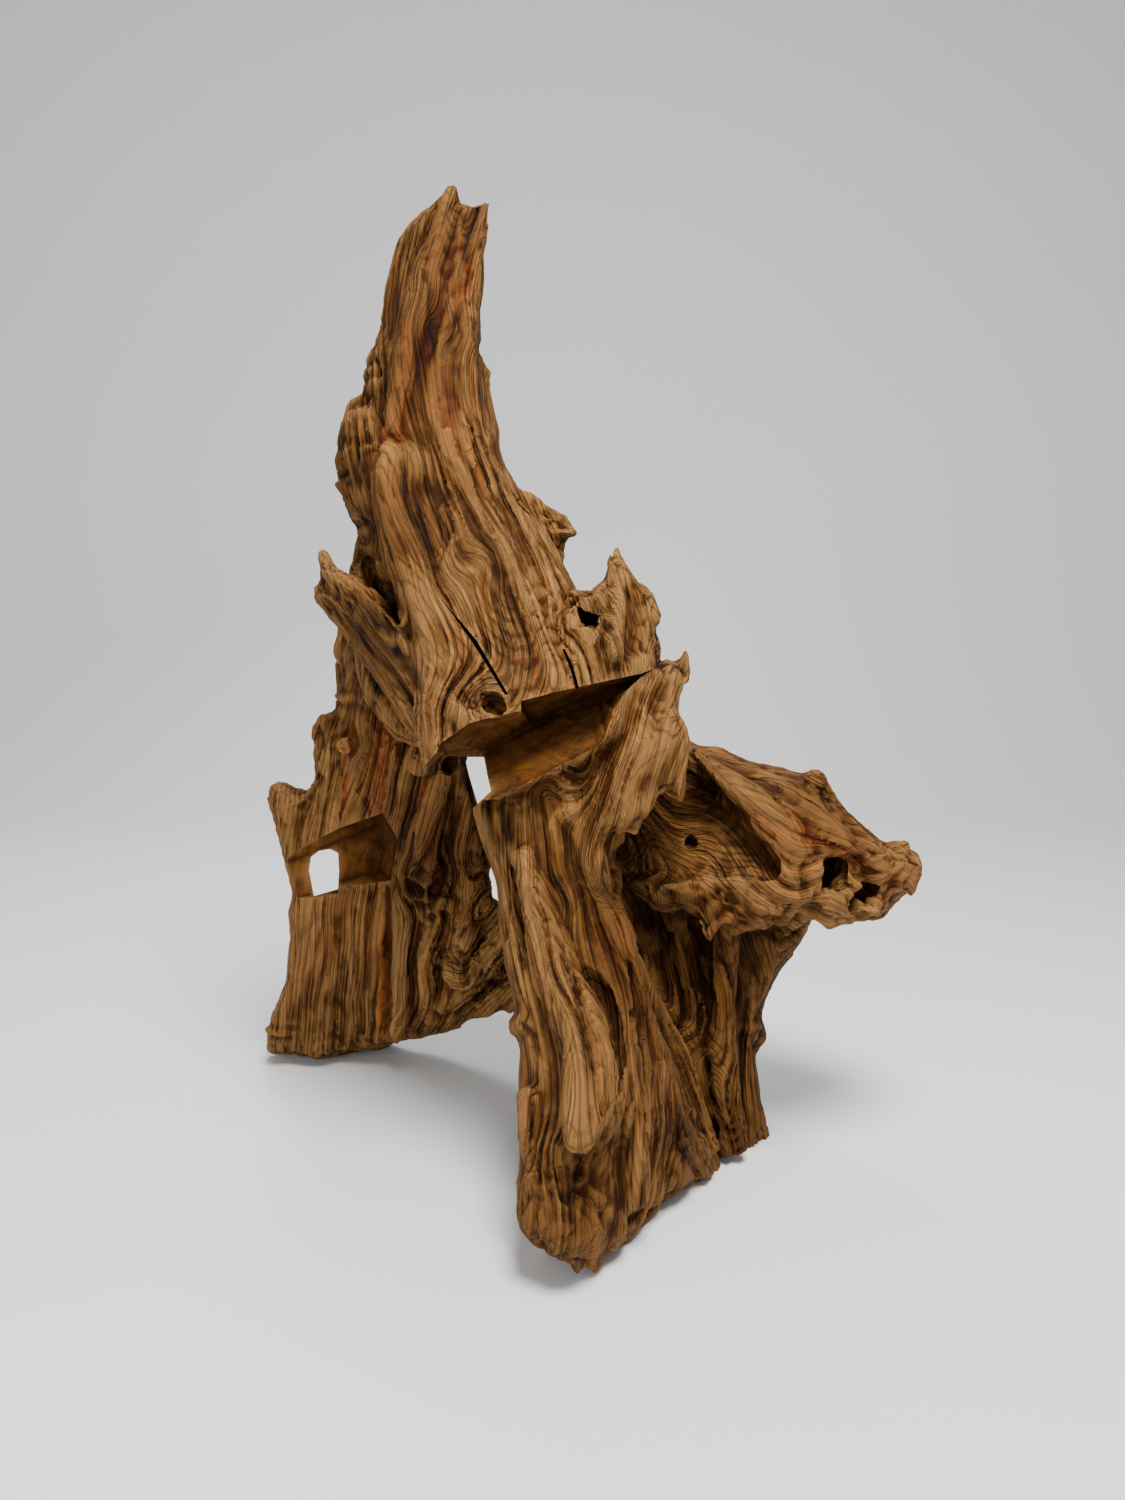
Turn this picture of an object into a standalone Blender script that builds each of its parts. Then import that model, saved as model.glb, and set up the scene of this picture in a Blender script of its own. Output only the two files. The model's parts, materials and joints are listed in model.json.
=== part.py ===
"""A dry root on three feet: one piece of weathered wood with sawn notches, knots and folds."""

from math import cos, radians, sin

import bmesh
import bpy
import numpy as np
from mathutils import Matrix, Vector, noise

# Driving sizes, in metres.
VIEW_DISTANCE = 1.43  # from the viewpoint to the middle of the root: it sets the whole size
VIEW_HEIGHT = 0.72
FUSE_STEP = 0.005  # cells in which the pieces grow together
FUSE_ROUNDS = 3
FLUTE_WIDTH = 0.034  # the long flutes that run with the grain
FLUTE_LENGTH = 0.4
FLUTE_RISE = 0.009
GNARL_SIZE = 0.055  # the lumps and dents across the grain
GNARL_RISE = 0.004
TRIANGLES = 10400  # of the grown body, before the saw cuts

# The outlines are read off the photograph in its pixels, 1125 wide and 1500 high, and set in
# space along the sight lines of the viewpoint. Depth is +Y, away from the viewer.
PHOTO_CENTRE = (562.5, 750.0)
FOCAL_PIXELS = 1127.0
EYE = (0.0, -VIEW_DISTANCE, VIEW_HEIGHT)
EYE_DIP = radians(7.5)
PIXEL = 0.001  # a slab is drawn at 1 mm a pixel before it is set in space
SLAB_CELL = 0.005
SLAB_HALF = 0.025

WOOD_COLOUR = (0.208, 0.097, 0.037, 1.0)
WOOD_ROUGHNESS = 0.62


def seen(px, py, depth):
    """The point at this depth that the viewpoint sees at pixel px, py."""
    px, py, depth = (np.asarray(v, float) for v in (px, py, depth))
    across = (px - PHOTO_CENTRE[0]) / FOCAL_PIXELS
    up = (PHOTO_CENTRE[1] - py) / FOCAL_PIXELS
    way_y = cos(EYE_DIP) + up * sin(EYE_DIP)
    way_z = up * cos(EYE_DIP) - sin(EYE_DIP)
    reach = (depth - EYE[1]) / way_y
    return np.stack([EYE[0] + reach * across, depth + 0 * reach, EYE[2] + reach * way_z], axis=-1)


def surface(anchors):
    """A smooth value over the picture through anchors (px, py, value): a thin plate."""
    if not isinstance(anchors, list):
        return lambda px, py: np.full(len(px), float(anchors))
    known = np.array(anchors, float)
    spots = known[:, :2] / 100
    count = len(known)

    def plate(a, b):
        gap = ((a[:, None, :] - b[None, :, :]) ** 2).sum(-1)
        return 0.5 * gap * np.log(gap + 1e-12)

    flat = np.hstack([np.ones((count, 1)), spots])
    left = np.block([[plate(spots, spots), flat], [flat.T, np.zeros((3, 3))]])
    weights = np.linalg.solve(left, np.concatenate([known[:, 2], np.zeros(3)]))

    def value(px, py):
        at = np.stack([px, py], axis=-1) / 100
        return plate(at, spots) @ weights[:count] + weights[count] + at @ weights[count + 1 :]

    return value


def inset(px, py, outline):
    """Distance in pixels from each point to the outline."""
    corners = np.array(outline, float)
    spots = np.stack([px, py], axis=-1)
    nearest = np.full(len(spots), 1e9)
    for start, end in zip(corners, np.roll(corners, -1, axis=0)):
        side = end - start
        share = np.clip((spots - start) @ side / (side @ side), 0, 1)
        nearest = np.minimum(nearest, np.linalg.norm(spots - start - share[:, None] * side, axis=1))
    return nearest


def applied(obj, kind, **settings):
    """Adds a modifier to obj, applies it and returns obj."""
    modifier = obj.modifiers.new(kind.title(), kind)
    for name, value in settings.items():
        setattr(modifier, name, value)
    made = bpy.data.meshes.new_from_object(obj.evaluated_get(bpy.context.evaluated_depsgraph_get()))
    old = obj.data
    obj.modifiers.clear()
    obj.data = made
    bpy.data.meshes.remove(old)
    return obj


def link(name, mesh, collection):
    obj = bpy.data.objects.new(name, mesh)
    collection.objects.link(obj)
    bpy.context.view_layer.update()
    return obj


def meshed(obj, name):
    """A mesh object in place of a curve object, with the curve's caps welded to its sides."""
    bpy.context.view_layer.update()
    mesh = bpy.data.meshes.new_from_object(obj.evaluated_get(bpy.context.evaluated_depsgraph_get()))
    mesh.transform(obj.matrix_world)
    shape = bmesh.new()
    shape.from_mesh(mesh)
    bmesh.ops.remove_doubles(shape, verts=shape.verts, dist=1e-5)
    bmesh.ops.recalc_face_normals(shape, faces=shape.faces)
    shape.to_mesh(mesh)
    shape.free()
    collection = obj.users_collection[0]
    bpy.data.objects.remove(obj)
    return link(name, mesh, collection)


def read_points(obj):
    flat = np.empty(len(obj.data.vertices) * 3)
    obj.data.vertices.foreach_get("co", flat)
    return flat.reshape(-1, 3)


def set_points(obj, points):
    obj.data.vertices.foreach_set("co", points.ravel())
    obj.data.update()


def slab(name, outline, front, back, rim, edge=0.25, collection=None):
    """A body with this outline as seen. front and back are depths or anchors of its two faces,
    which curve in over the rim, in pixels, and keep the share edge of their distance there."""
    drawn = bpy.data.curves.new(name, "CURVE")
    drawn.dimensions = "2D"
    drawn.fill_mode = "BOTH"
    drawn.extrude = SLAB_HALF
    spline = drawn.splines.new("POLY")
    spline.points.add(len(outline) - 1)
    for point, (px, py) in zip(spline.points, outline):
        point.co = (px * PIXEL, -py * PIXEL, 0, 1)
    spline.use_cyclic_u = True
    obj = meshed(link(name, drawn, collection or pieces), name)
    applied(obj, "REMESH", mode="VOXEL", voxel_size=SLAB_CELL)
    flat = read_points(obj)
    px, py = flat[:, 0] / PIXEL, -flat[:, 1] / PIXEL
    side = np.clip(-flat[:, 2] / (SLAB_HALF - 0.3 * SLAB_CELL), -1, 1)
    near, far = surface(front)(px, py), surface(back)(px, py)
    curve = np.clip(inset(px, py, outline) / surface(rim)(px, py), 0, 1)
    swell = edge + (1 - edge) * np.sqrt(1 - (1 - curve) ** 2)
    set_points(obj, seen(px, py, (near + far) / 2 + side * (far - near) / 2 * swell))
    return obj


def strand(name, path, collection=None):
    """A round limb through path, points (px, py, depth, radius in metres)."""
    drawn = bpy.data.curves.new(name, "CURVE")
    drawn.dimensions = "3D"
    drawn.bevel_depth = 1.0
    drawn.bevel_resolution = 2
    drawn.use_fill_caps = True
    drawn.resolution_u = 6
    spline = drawn.splines.new("NURBS")
    spline.points.add(len(path) - 1)
    for point, (px, py, depth, radius) in zip(spline.points, path):
        point.co = (*seen(px, py, depth), 1)
        point.radius = radius
    spline.order_u = 3
    spline.use_endpoint_u = True
    return meshed(link(name, drawn, collection or pieces), name)


def knob(name, centre, radii, turn=(0, 0, 0), collection=None):
    """An egg: centre (px, py, depth), radii in metres, turned by degrees."""
    shape = bmesh.new()
    bmesh.ops.create_icosphere(shape, subdivisions=3, radius=1)
    mesh = bpy.data.meshes.new(name)
    place = Matrix.Translation(Vector(seen(*centre)))
    for axis, angle in zip("XYZ", turn):
        place = place @ Matrix.Rotation(radians(angle), 4, axis)
    shape.transform(place @ Matrix.Diagonal((*radii, 1)))
    shape.to_mesh(mesh)
    shape.free()
    return link(name, mesh, collection or pieces)


def cut(name, rings):
    """A saw cut: rings (depth, outline) with as many points each, joined one to the next."""
    shape = bmesh.new()
    loops = [[shape.verts.new(seen(px, py, depth)) for px, py in outline] for depth, outline in rings]
    shape.faces.new(loops[0])
    shape.faces.new(reversed(loops[-1]))
    for near, far in zip(loops, loops[1:]):
        for i in range(len(near)):
            j = (i + 1) % len(near)
            shape.faces.new((near[j], near[i], far[i], far[j]))
    bmesh.ops.triangulate(shape, faces=shape.faces)
    bmesh.ops.recalc_face_normals(shape, faces=shape.faces)
    mesh = bpy.data.meshes.new(name)
    shape.to_mesh(mesh)
    shape.free()
    return link(name, mesh, saw_cuts)


# The outlines, clockwise, each named for its piece of the root.
HORN = [
    (345, 505), (338, 470), (337, 440), (343, 420), (352, 405), (365, 399), (372, 385),
    (369, 370), (368, 352), (378, 345), (376, 338), (381, 330), (385, 310), (388, 290),
    (394, 265), (402, 245), (412, 225), (425, 210), (436, 201), (442, 200), (447, 190),
    (455, 186), (459, 188), (459, 203), (465, 207), (473, 210), (478, 203), (485, 198),
    (490, 199), (487, 212), (484, 225), (480, 238), (479, 270), (478, 300), (478, 330),
    (480, 360), (485, 361), (485, 373), (488, 385), (490, 405), (494, 420), (497, 440),
    (500, 460), (512, 475), (522, 495), (537, 520), (555, 548), (573, 588), (590, 640),
    (420, 660), (352, 580), (359, 535), (353, 520),
]
BLOCK = [
    (376, 441), (395, 436), (420, 433), (450, 436), (480, 448), (500, 464), (518, 496),
    (540, 530), (557, 556), (573, 588), (590, 620), (620, 640), (657, 650), (657, 690),
    (630, 740), (560, 775), (500, 800), (437, 800), (422, 760), (416, 715), (409, 660),
    (405, 630), (396, 596), (386, 562), (377, 530), (372, 500), (371, 468),
]
LOG = [
    (317, 558), (321, 553), (330, 566), (342, 575), (352, 578), (375, 595), (395, 615),
    (410, 640), (440, 680), (490, 735), (490, 790), (437, 790), (425, 750), (405, 725),
    (385, 690), (362, 660), (340, 630), (326, 612), (325, 605), (317, 598), (316, 583),
    (324, 577), (323, 568),
]
LEFT_LEG = [
    (345, 590), (342, 630), (336, 655), (339, 665), (338, 700), (336, 719), (322, 722),
    (315, 724), (312, 733), (316, 738), (319, 750), (315, 755), (318, 765), (319, 780),
    (312, 790), (296, 791), (290, 785), (285, 784), (283, 788), (278, 784), (270, 793),
    (272, 800), (277, 820), (283, 845), (289, 880), (293, 900), (287, 911), (290, 940),
    (287, 965), (285, 985), (280, 1000), (272, 1020), (267, 1045), (266, 1052), (285, 1052),
    (310, 1055), (340, 1053), (370, 1048), (400, 1042), (440, 1033), (460, 1027),
    (470, 1018), (485, 1018), (497, 1007), (515, 1004), (540, 1000), (540, 930), (520, 900),
    (497, 905), (490, 893), (492, 885), (487, 870), (485, 850), (480, 830), (476, 806),
    (473, 790), (468, 770), (463, 757), (470, 740), (450, 690), (420, 620),
]
FRONT_LEG = [
    (474, 806), (497, 797), (489, 774), (486, 757), (560, 735), (620, 715), (640, 740), (630, 800), (616, 870),
    (620, 900), (627, 940), (639, 975), (647, 1010), (664, 1050), (686, 1100), (704, 1130),
    (718, 1168), (700, 1175), (680, 1190), (660, 1202), (645, 1215), (635, 1235),
    (620, 1243), (605, 1252), (595, 1267), (585, 1270), (570, 1264), (550, 1252),
    (535, 1244), (522, 1226), (520, 1190), (521, 1150), (523, 1100), (522, 1060),
    (520, 1032), (510, 1031), (512, 1022), (518, 1012), (513, 990), (507, 960), (502, 930),
    (499, 905), (497, 880), (490, 858), (483, 838),
]
FLAP = [
    (600, 735), (612, 710), (625, 690), (640, 676), (655, 668), (665, 668), (672, 661),
    (682, 656), (686, 660), (688, 672), (687, 683), (680, 695), (676, 705), (681, 717),
    (687, 730), (689, 745), (686, 765), (685, 790), (681, 797), (676, 790), (668, 784),
    (664, 792), (660, 792), (655, 803), (652, 815), (648, 822), (640, 824), (632, 829),
    (618, 830), (608, 829), (604, 840), (598, 853), (590, 850), (583, 830), (575, 800),
    (570, 770),
]
SPIKE = [
    (575, 593), (585, 594), (595, 592), (602, 585), (609, 575), (612, 563), (613, 550),
    (617, 548), (622, 552), (626, 562), (632, 575), (638, 588), (641, 587), (648, 600),
    (655, 612), (657, 630), (658, 690), (620, 710), (585, 710), (565, 660), (560, 620),
]
LUG = [
    (515, 480), (522, 492), (530, 491), (540, 497), (548, 506), (560, 512), (573, 523),
    (579, 529), (576, 535), (570, 538), (567, 545), (562, 555), (575, 590), (540, 590),
    (500, 520),
]
ARM = [
    (640, 730), (686, 742), (700, 750), (712, 748), (718, 749), (730, 757), (760, 765),
    (785, 771), (805, 777), (808, 773), (815, 771), (823, 775), (827, 785), (835, 797),
    (840, 808), (850, 820), (860, 828), (868, 838), (873, 838), (880, 844), (888, 847),
    (897, 843), (904, 844), (909, 855), (914, 863), (919, 873), (918, 880), (912, 888),
    (905, 890), (900, 897), (890, 905), (882, 915), (872, 919), (860, 921), (845, 920),
    (828, 922), (820, 918), (815, 910), (800, 916), (780, 926), (740, 930), (700, 918),
    (660, 910), (620, 890), (605, 840), (610, 780),
]
RIGHT_LEG = [
    (610, 890), (660, 880), (760, 890), (815, 905), (812, 918), (808, 930), (795, 950),
    (780, 968), (770, 985), (763, 1005), (760, 1020), (764, 1025), (765, 1035), (762, 1044),
    (756, 1047), (752, 1043), (754, 1060), (756, 1080), (758, 1100), (762, 1120),
    (767, 1138), (755, 1147), (742, 1155), (725, 1168), (710, 1175), (690, 1180),
    (660, 1180), (640, 1100), (630, 1000),
]
CORE = [
    (385, 480), (500, 470), (560, 590), (600, 650), (640, 690), (670, 720), (700, 765),
    (770, 790), (800, 850), (780, 920), (750, 980), (700, 1010), (620, 1000), (560, 950),
    (520, 905), (508, 860), (506, 800), (500, 770), (480, 757), (455, 752), (400, 740),
    (360, 700), (350, 640), (360, 560),
]
LOG_GAP = [
    (355, 568), (361, 556), (368, 552), (379, 572), (391, 598), (402, 624), (408, 643), (397, 626),
    (381, 606), (365, 591),
]
SCOOP = [
    (692, 754), (704, 768), (725, 790), (742, 808), (757, 829), (772, 845), (782, 862),
    (785, 880), (765, 888), (742, 890), (722, 897), (700, 895), (682, 890), (662, 898),
    (642, 890), (622, 880), (608, 862), (612, 842), (640, 833), (656, 822), (662, 802),
    (680, 802), (692, 798),
]
SCOOP_BEHIND_FLAP = [
    (688, 752), (704, 768), (725, 790), (735, 815), (735, 860), (700, 880), (662, 888),
    (642, 885), (622, 875), (606, 850), (615, 795), (650, 762),
]


def build_pieces():
    """The pieces of the root, as closed bodies that overlap where they grow together."""
    slab("horn", HORN,
         front=[(450, 200, 0.03), (430, 320, 0.0), (430, 440, -0.03), (520, 560, -0.06),
                (400, 620, -0.02)],
         back=[(450, 200, 0.09), (430, 320, 0.12), (430, 440, 0.15), (520, 560, 0.16),
               (400, 620, 0.18)],
         rim=55, edge=0.1)
    slab("block", BLOCK,
         front=[(380, 450, -0.04), (440, 440, -0.035), (490, 470, -0.03), (376, 540, -0.07),
                (440, 600, -0.11), (440, 700, -0.15), (560, 700, -0.165), (640, 660, -0.14),
                (540, 560, -0.07)],
         back=[(380, 450, 0.08), (490, 470, 0.1), (440, 700, 0.06), (560, 700, 0.06),
               (640, 660, 0.03)],
         rim=[(380, 450, 14), (376, 540, 12), (410, 660, 14), (440, 790, 20), (500, 464, 60),
              (560, 560, 60), (650, 660, 30), (600, 760, 20)],
         edge=0.45)
    slab("log", LOG,
         front=[(320, 560, 0.01), (345, 600, -0.025), (400, 660, -0.1), (450, 740, -0.16)],
         back=[(320, 560, 0.04), (345, 600, 0.05), (400, 660, 0.02), (450, 740, -0.02)],
         rim=11, edge=0.7)
    slab("left_leg", LEFT_LEG,
         front=[(350, 640, 0.09), (400, 720, 0.09), (460, 720, 0.07), (300, 800, 0.15),
                (350, 800, 0.13), (380, 900, 0.155), (290, 930, 0.18), (290, 1045, 0.235),
                (380, 1040, 0.225), (420, 960, 0.17), (500, 980, 0.17), (440, 850, 0.13)],
         back=[(350, 640, 0.2), (430, 720, 0.22), (300, 800, 0.22), (380, 900, 0.26),
               (290, 1040, 0.31), (380, 1040, 0.35), (500, 980, 0.26), (450, 850, 0.25)],
         rim=14, edge=0.5)
    slab("front_leg", FRONT_LEG,
         front=[(490, 800, -0.125), (560, 780, -0.15), (620, 760, -0.14), (520, 900, -0.16),
                (590, 930, -0.175), (530, 1100, -0.25), (600, 1100, -0.29), (580, 1240, -0.34),
                (640, 1100, -0.24), (690, 1150, -0.15), (650, 1190, -0.22)],
         back=[(490, 800, -0.02), (600, 760, 0.0), (520, 900, -0.03), (600, 930, -0.02),
               (530, 1100, -0.14), (600, 1100, -0.14), (580, 1240, -0.22), (690, 1150, -0.02)],
         rim=[(480, 806, 10), (495, 870, 22), (530, 1100, 30), (600, 1100, 40), (580, 1240, 26),
              (700, 1150, 16)],
         edge=0.35)
    slab("flap", FLAP,
         front=[(650, 680, -0.12), (680, 670, -0.1), (600, 760, -0.155), (650, 750, -0.185),
                (680, 780, -0.15), (600, 840, -0.175), (640, 820, -0.19)],
         back=[(650, 680, -0.06), (680, 670, -0.06), (600, 760, -0.1), (650, 750, -0.13),
               (680, 780, -0.11), (600, 840, -0.13), (640, 820, -0.15)],
         rim=9, edge=0.5)
    slab("spike", SPIKE,
         front=[(617, 550, -0.08), (650, 620, -0.1), (600, 680, -0.155), (570, 640, -0.145),
                (640, 680, -0.13)],
         back=[(617, 550, -0.03), (650, 620, -0.02), (600, 680, 0.0), (570, 640, 0.0)],
         rim=12, edge=0.4)
    slab("lug", LUG,
         front=[(520, 490, 0.03), (575, 530, 0.04), (560, 580, 0.02)],
         back=[(520, 490, 0.08), (575, 530, 0.07), (560, 580, 0.08)],
         rim=12, edge=0.3)
    slab("arm", ARM,
         front=[(650, 760, 0.0), (740, 775, -0.02), (745, 815, -0.08), (790, 860, -0.115),
                (690, 890, -0.07), (740, 900, -0.09), (830, 800, -0.03), (840, 850, -0.09),
                (900, 870, -0.04)],
         back=[(650, 760, 0.16), (740, 790, 0.15), (790, 860, 0.14), (690, 890, 0.18),
               (830, 800, 0.1), (900, 870, 0.06)],
         rim=[(700, 760, 34), (800, 790, 26), (900, 860, 18), (850, 915, 16), (720, 910, 22)],
         edge=0.25)
    slab("right_leg", RIGHT_LEG,
         front=[(640, 920, 0.01), (790, 930, 0.0), (705, 1000, -0.02), (705, 1170, -0.062),
                (760, 1130, -0.015)],
         back=[(640, 920, 0.16), (790, 930, 0.14), (700, 1000, 0.14), (700, 1170, 0.11),
               (760, 1130, 0.09)],
         rim=22, edge=0.3)
    slab("core", CORE,
         front=[(430, 500, 0.0), (520, 600, 0.0), (420, 720, 0.02), (560, 800, -0.06),
                (640, 800, 0.06), (740, 850, 0.05), (620, 960, 0.0)],
         back=[(430, 500, 0.16), (520, 600, 0.17), (420, 720, 0.2), (560, 800, 0.17),
               (640, 800, 0.17), (740, 850, 0.14), (620, 960, 0.14)],
         rim=50, edge=0.2)


def build_ridges():
    """Ridges, folds and knots that stand proud of the pieces."""
    # The horn: two tips with a ridge below each, and the gnarled left cheek.
    strand("tip_left", [(455, 186, 0.055, 0.007), (446, 222, 0.04, 0.014), (425, 290, 0.015, 0.024),
                        (408, 370, 0.0, 0.022), (392, 432, -0.01, 0.012)])
    strand("tip_right", [(487, 200, 0.06, 0.006), (479, 232, 0.05, 0.008), (468, 300, 0.02, 0.011),
                         (465, 380, -0.01, 0.015), (477, 450, -0.015, 0.013), (514, 530, -0.02, 0.013),
                         (546, 580, -0.03, 0.01)])
    strand("middle_rib", [(458, 260, 0.02, 0.006), (448, 330, 0.0, 0.011), (436, 400, -0.02, 0.012),
                          (440, 440, -0.03, 0.012), (500, 540, -0.06, 0.014), (545, 640, -0.12, 0.012),
                          (560, 690, -0.16, 0.01)])
    for i, (px, py, depth, size) in enumerate([
            (358, 428, 0.03, 0.02), (354, 462, 0.04, 0.018), (361, 500, 0.045, 0.017),
            (379, 354, 0.045, 0.01), (385, 337, 0.05, 0.006), (382, 388, 0.035, 0.014),
            (480, 367, 0.05, 0.006), (480, 400, 0.045, 0.008)]):
        knob("cheek_%d" % i, (px, py, depth), (size, size * 0.9, size * 1.15))
    # The left leg: the curtain of folds between the sawn plank and the gap.
    strand("fold_a", [(458, 752, 0.09, 0.008), (443, 780, 0.09, 0.016), (420, 828, 0.115, 0.02),
                      (404, 880, 0.14, 0.016), (402, 960, 0.165, 0.014), (398, 1036, 0.21, 0.012)])
    strand("fold_b", [(450, 800, 0.11, 0.012), (432, 850, 0.125, 0.014), (425, 920, 0.15, 0.012),
                      (430, 1020, 0.2, 0.012)])
    strand("fold_c", [(457, 778, 0.12, 0.007), (464, 830, 0.125, 0.012), (472, 880, 0.14, 0.01),
                      (468, 940, 0.15, 0.016), (450, 1000, 0.18, 0.014)])
    strand("fold_d", [(520, 925, 0.1, 0.02), (495, 950, 0.13, 0.02), (470, 985, 0.155, 0.022),
                      (440, 1005, 0.19, 0.014)])
    strand("fold_e", [(535, 985, 0.13, 0.02), (505, 992, 0.16, 0.018), (480, 1008, 0.18, 0.014)])
    for i, (px, py, depth, size) in enumerate([
            (427, 882, 0.13, 0.016), (447, 905, 0.135, 0.014), (468, 906, 0.14, 0.013),
            (456, 972, 0.15, 0.02), (420, 765, 0.08, 0.014), (345, 745, 0.1, 0.012)]):
        knob("leg_knot_%d" % i, (px, py, depth), (size, size * 0.7, size))
    strand("window_lump", [(348, 884, 0.27, 0.014), (330, 882, 0.27, 0.013), (318, 893, 0.27, 0.006)])
    # The front leg: a drape over its middle and two ridges that twist down to the right.
    strand("drape", [(520, 850, -0.15, 0.012), (543, 925, -0.178, 0.018), (566, 985, -0.212, 0.024),
                     (586, 1035, -0.258, 0.028), (590, 1085, -0.296, 0.03), (582, 1126, -0.322, 0.024),
                     (572, 1150, -0.335, 0.01)])
    strand("twist_a", [(560, 770, -0.145, 0.008), (590, 850, -0.16, 0.016), (608, 910, -0.165, 0.018),
                       (628, 970, -0.165, 0.018), (645, 1035, -0.175, 0.018), (668, 1095, -0.18, 0.018),
                       (690, 1150, -0.15, 0.012)])
    strand("twist_b", [(625, 940, -0.13, 0.008), (655, 1010, -0.12, 0.012), (690, 1080, -0.1, 0.014),
                       (712, 1150, -0.09, 0.012)])
    strand("toe", [(530, 1090, -0.245, 0.012), (528, 1150, -0.27, 0.014), (540, 1220, -0.28, 0.014)])
    strand("toe_right", [(630, 1060, -0.22, 0.014), (640, 1130, -0.25, 0.018), (638, 1200, -0.25, 0.014)])
    strand("spur", [(530, 1020, -0.15, 0.012), (518, 1023, -0.15, 0.006), (511, 1028, -0.15, 0.003)])
    # The flap: pleats down from its fold.
    strand("pleat_a", [(655, 672, -0.115, 0.008), (632, 720, -0.15, 0.012), (622, 780, -0.175, 0.011),
                       (620, 822, -0.18, 0.007)])
    strand("pleat_b", [(672, 668, -0.1, 0.01), (655, 730, -0.16, 0.013), (646, 790, -0.175, 0.008)])
    strand("pleat_c", [(600, 745, -0.15, 0.008), (600, 800, -0.165, 0.01), (598, 845, -0.165, 0.006)])
    strand("pleat_d", [(682, 722, -0.13, 0.006), (681, 760, -0.14, 0.006), (680, 790, -0.14, 0.005)])
    strand("spike_rib", [(617, 550, -0.065, 0.006), (622, 600, -0.11, 0.012), (615, 660, -0.15, 0.01)])
    # The arm: the bright ridge over the scoop, its lips and the snout.
    strand("brow", [(689, 747, -0.02, 0.008), (714, 770, -0.035, 0.018), (752, 803, -0.065, 0.026),
                    (784, 836, -0.088, 0.028), (803, 868, -0.098, 0.024), (803, 895, -0.1, 0.014)])
    strand("hood", [(700, 754, -0.0, 0.01), (745, 776, -0.02, 0.018), (790, 800, -0.05, 0.022),
                    (820, 825, -0.075, 0.022), (845, 850, -0.08, 0.018), (880, 870, -0.07, 0.014)])
    strand("lip_a", [(628, 884, -0.01, 0.007), (655, 899, -0.03, 0.007), (690, 899, -0.045, 0.006),
                     (718, 903, -0.06, 0.007), (748, 897, -0.078, 0.009), (790, 896, -0.1, 0.011)])
    strand("lip_b", [(690, 915, -0.05, 0.01), (740, 922, -0.07, 0.018), (785, 910, -0.08, 0.016),
                     (808, 897, -0.075, 0.01)])
    strand("snout", [(850, 850, -0.07, 0.02), (885, 868, -0.06, 0.024), (908, 876, -0.03, 0.02)])
    strand("jaw", [(800, 900, -0.06, 0.012), (828, 912, -0.05, 0.014), (862, 912, -0.05, 0.013),
                   (888, 895, -0.04, 0.014)])
    for i, (px, py, depth, size) in enumerate([
            (815, 780, 0.0, 0.014), (903, 850, -0.02, 0.012), (872, 845, -0.04, 0.01),
            (759, 1035, 0.03, 0.012)]):
        knob("arm_knot_%d" % i, (px, py, depth), (size, size, size))
    # The right leg: upright folds down from the lips.
    strand("column_a", [(670, 905, 0.0, 0.02), (688, 980, -0.005, 0.016), (690, 1080, -0.04, 0.018),
                        (700, 1165, -0.06, 0.018)])
    strand("column_b", [(728, 915, -0.02, 0.018), (722, 990, -0.025, 0.018), (722, 1070, -0.045, 0.02),
                        (735, 1150, -0.05, 0.018)])
    strand("column_c", [(797, 912, 0.0, 0.014), (766, 968, 0.0, 0.013), (751, 1010, 0.0, 0.01),
                        (745, 1070, 0.0, 0.01), (752, 1130, -0.01, 0.012)])
    # The back: roots that run down from the horn to the three legs and the arm.
    strand("back_left", [(443, 250, 0.08, 0.016), (412, 400, 0.14, 0.036), (395, 560, 0.19, 0.045),
                         (385, 700, 0.22, 0.042), (382, 850, 0.27, 0.036), (345, 950, 0.31, 0.036),
                         (335, 1050, 0.33, 0.034)])
    strand("back_right", [(460, 280, 0.09, 0.012), (466, 450, 0.14, 0.034), (515, 600, 0.18, 0.05),
                          (560, 750, 0.19, 0.05), (620, 880, 0.17, 0.05), (690, 1000, 0.12, 0.045),
                          (725, 1160, 0.06, 0.036)])
    strand("back_arm", [(530, 620, 0.16, 0.04), (610, 720, 0.16, 0.045), (700, 800, 0.14, 0.045),
                        (800, 850, 0.1, 0.04), (885, 878, 0.04, 0.026)])
    strand("back_inner", [(430, 480, 0.16, 0.03), (435, 620, 0.21, 0.035), (428, 740, 0.24, 0.032),
                          (425, 860, 0.27, 0.03), (440, 1010, 0.28, 0.024)])
    strand("back_strut", [(570, 780, 0.16, 0.04), (590, 880, 0.1, 0.042), (600, 980, 0.0, 0.04),
                          (590, 1090, -0.12, 0.038), (585, 1230, -0.21, 0.034)])
    strand("back_web", [(545, 900, 0.13, 0.03), (520, 950, 0.18, 0.03), (470, 990, 0.24, 0.028),
                        (420, 1020, 0.29, 0.026)])
    strand("back_cross", [(400, 700, 0.22, 0.03), (470, 690, 0.22, 0.032), (540, 720, 0.2, 0.034)])


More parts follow.
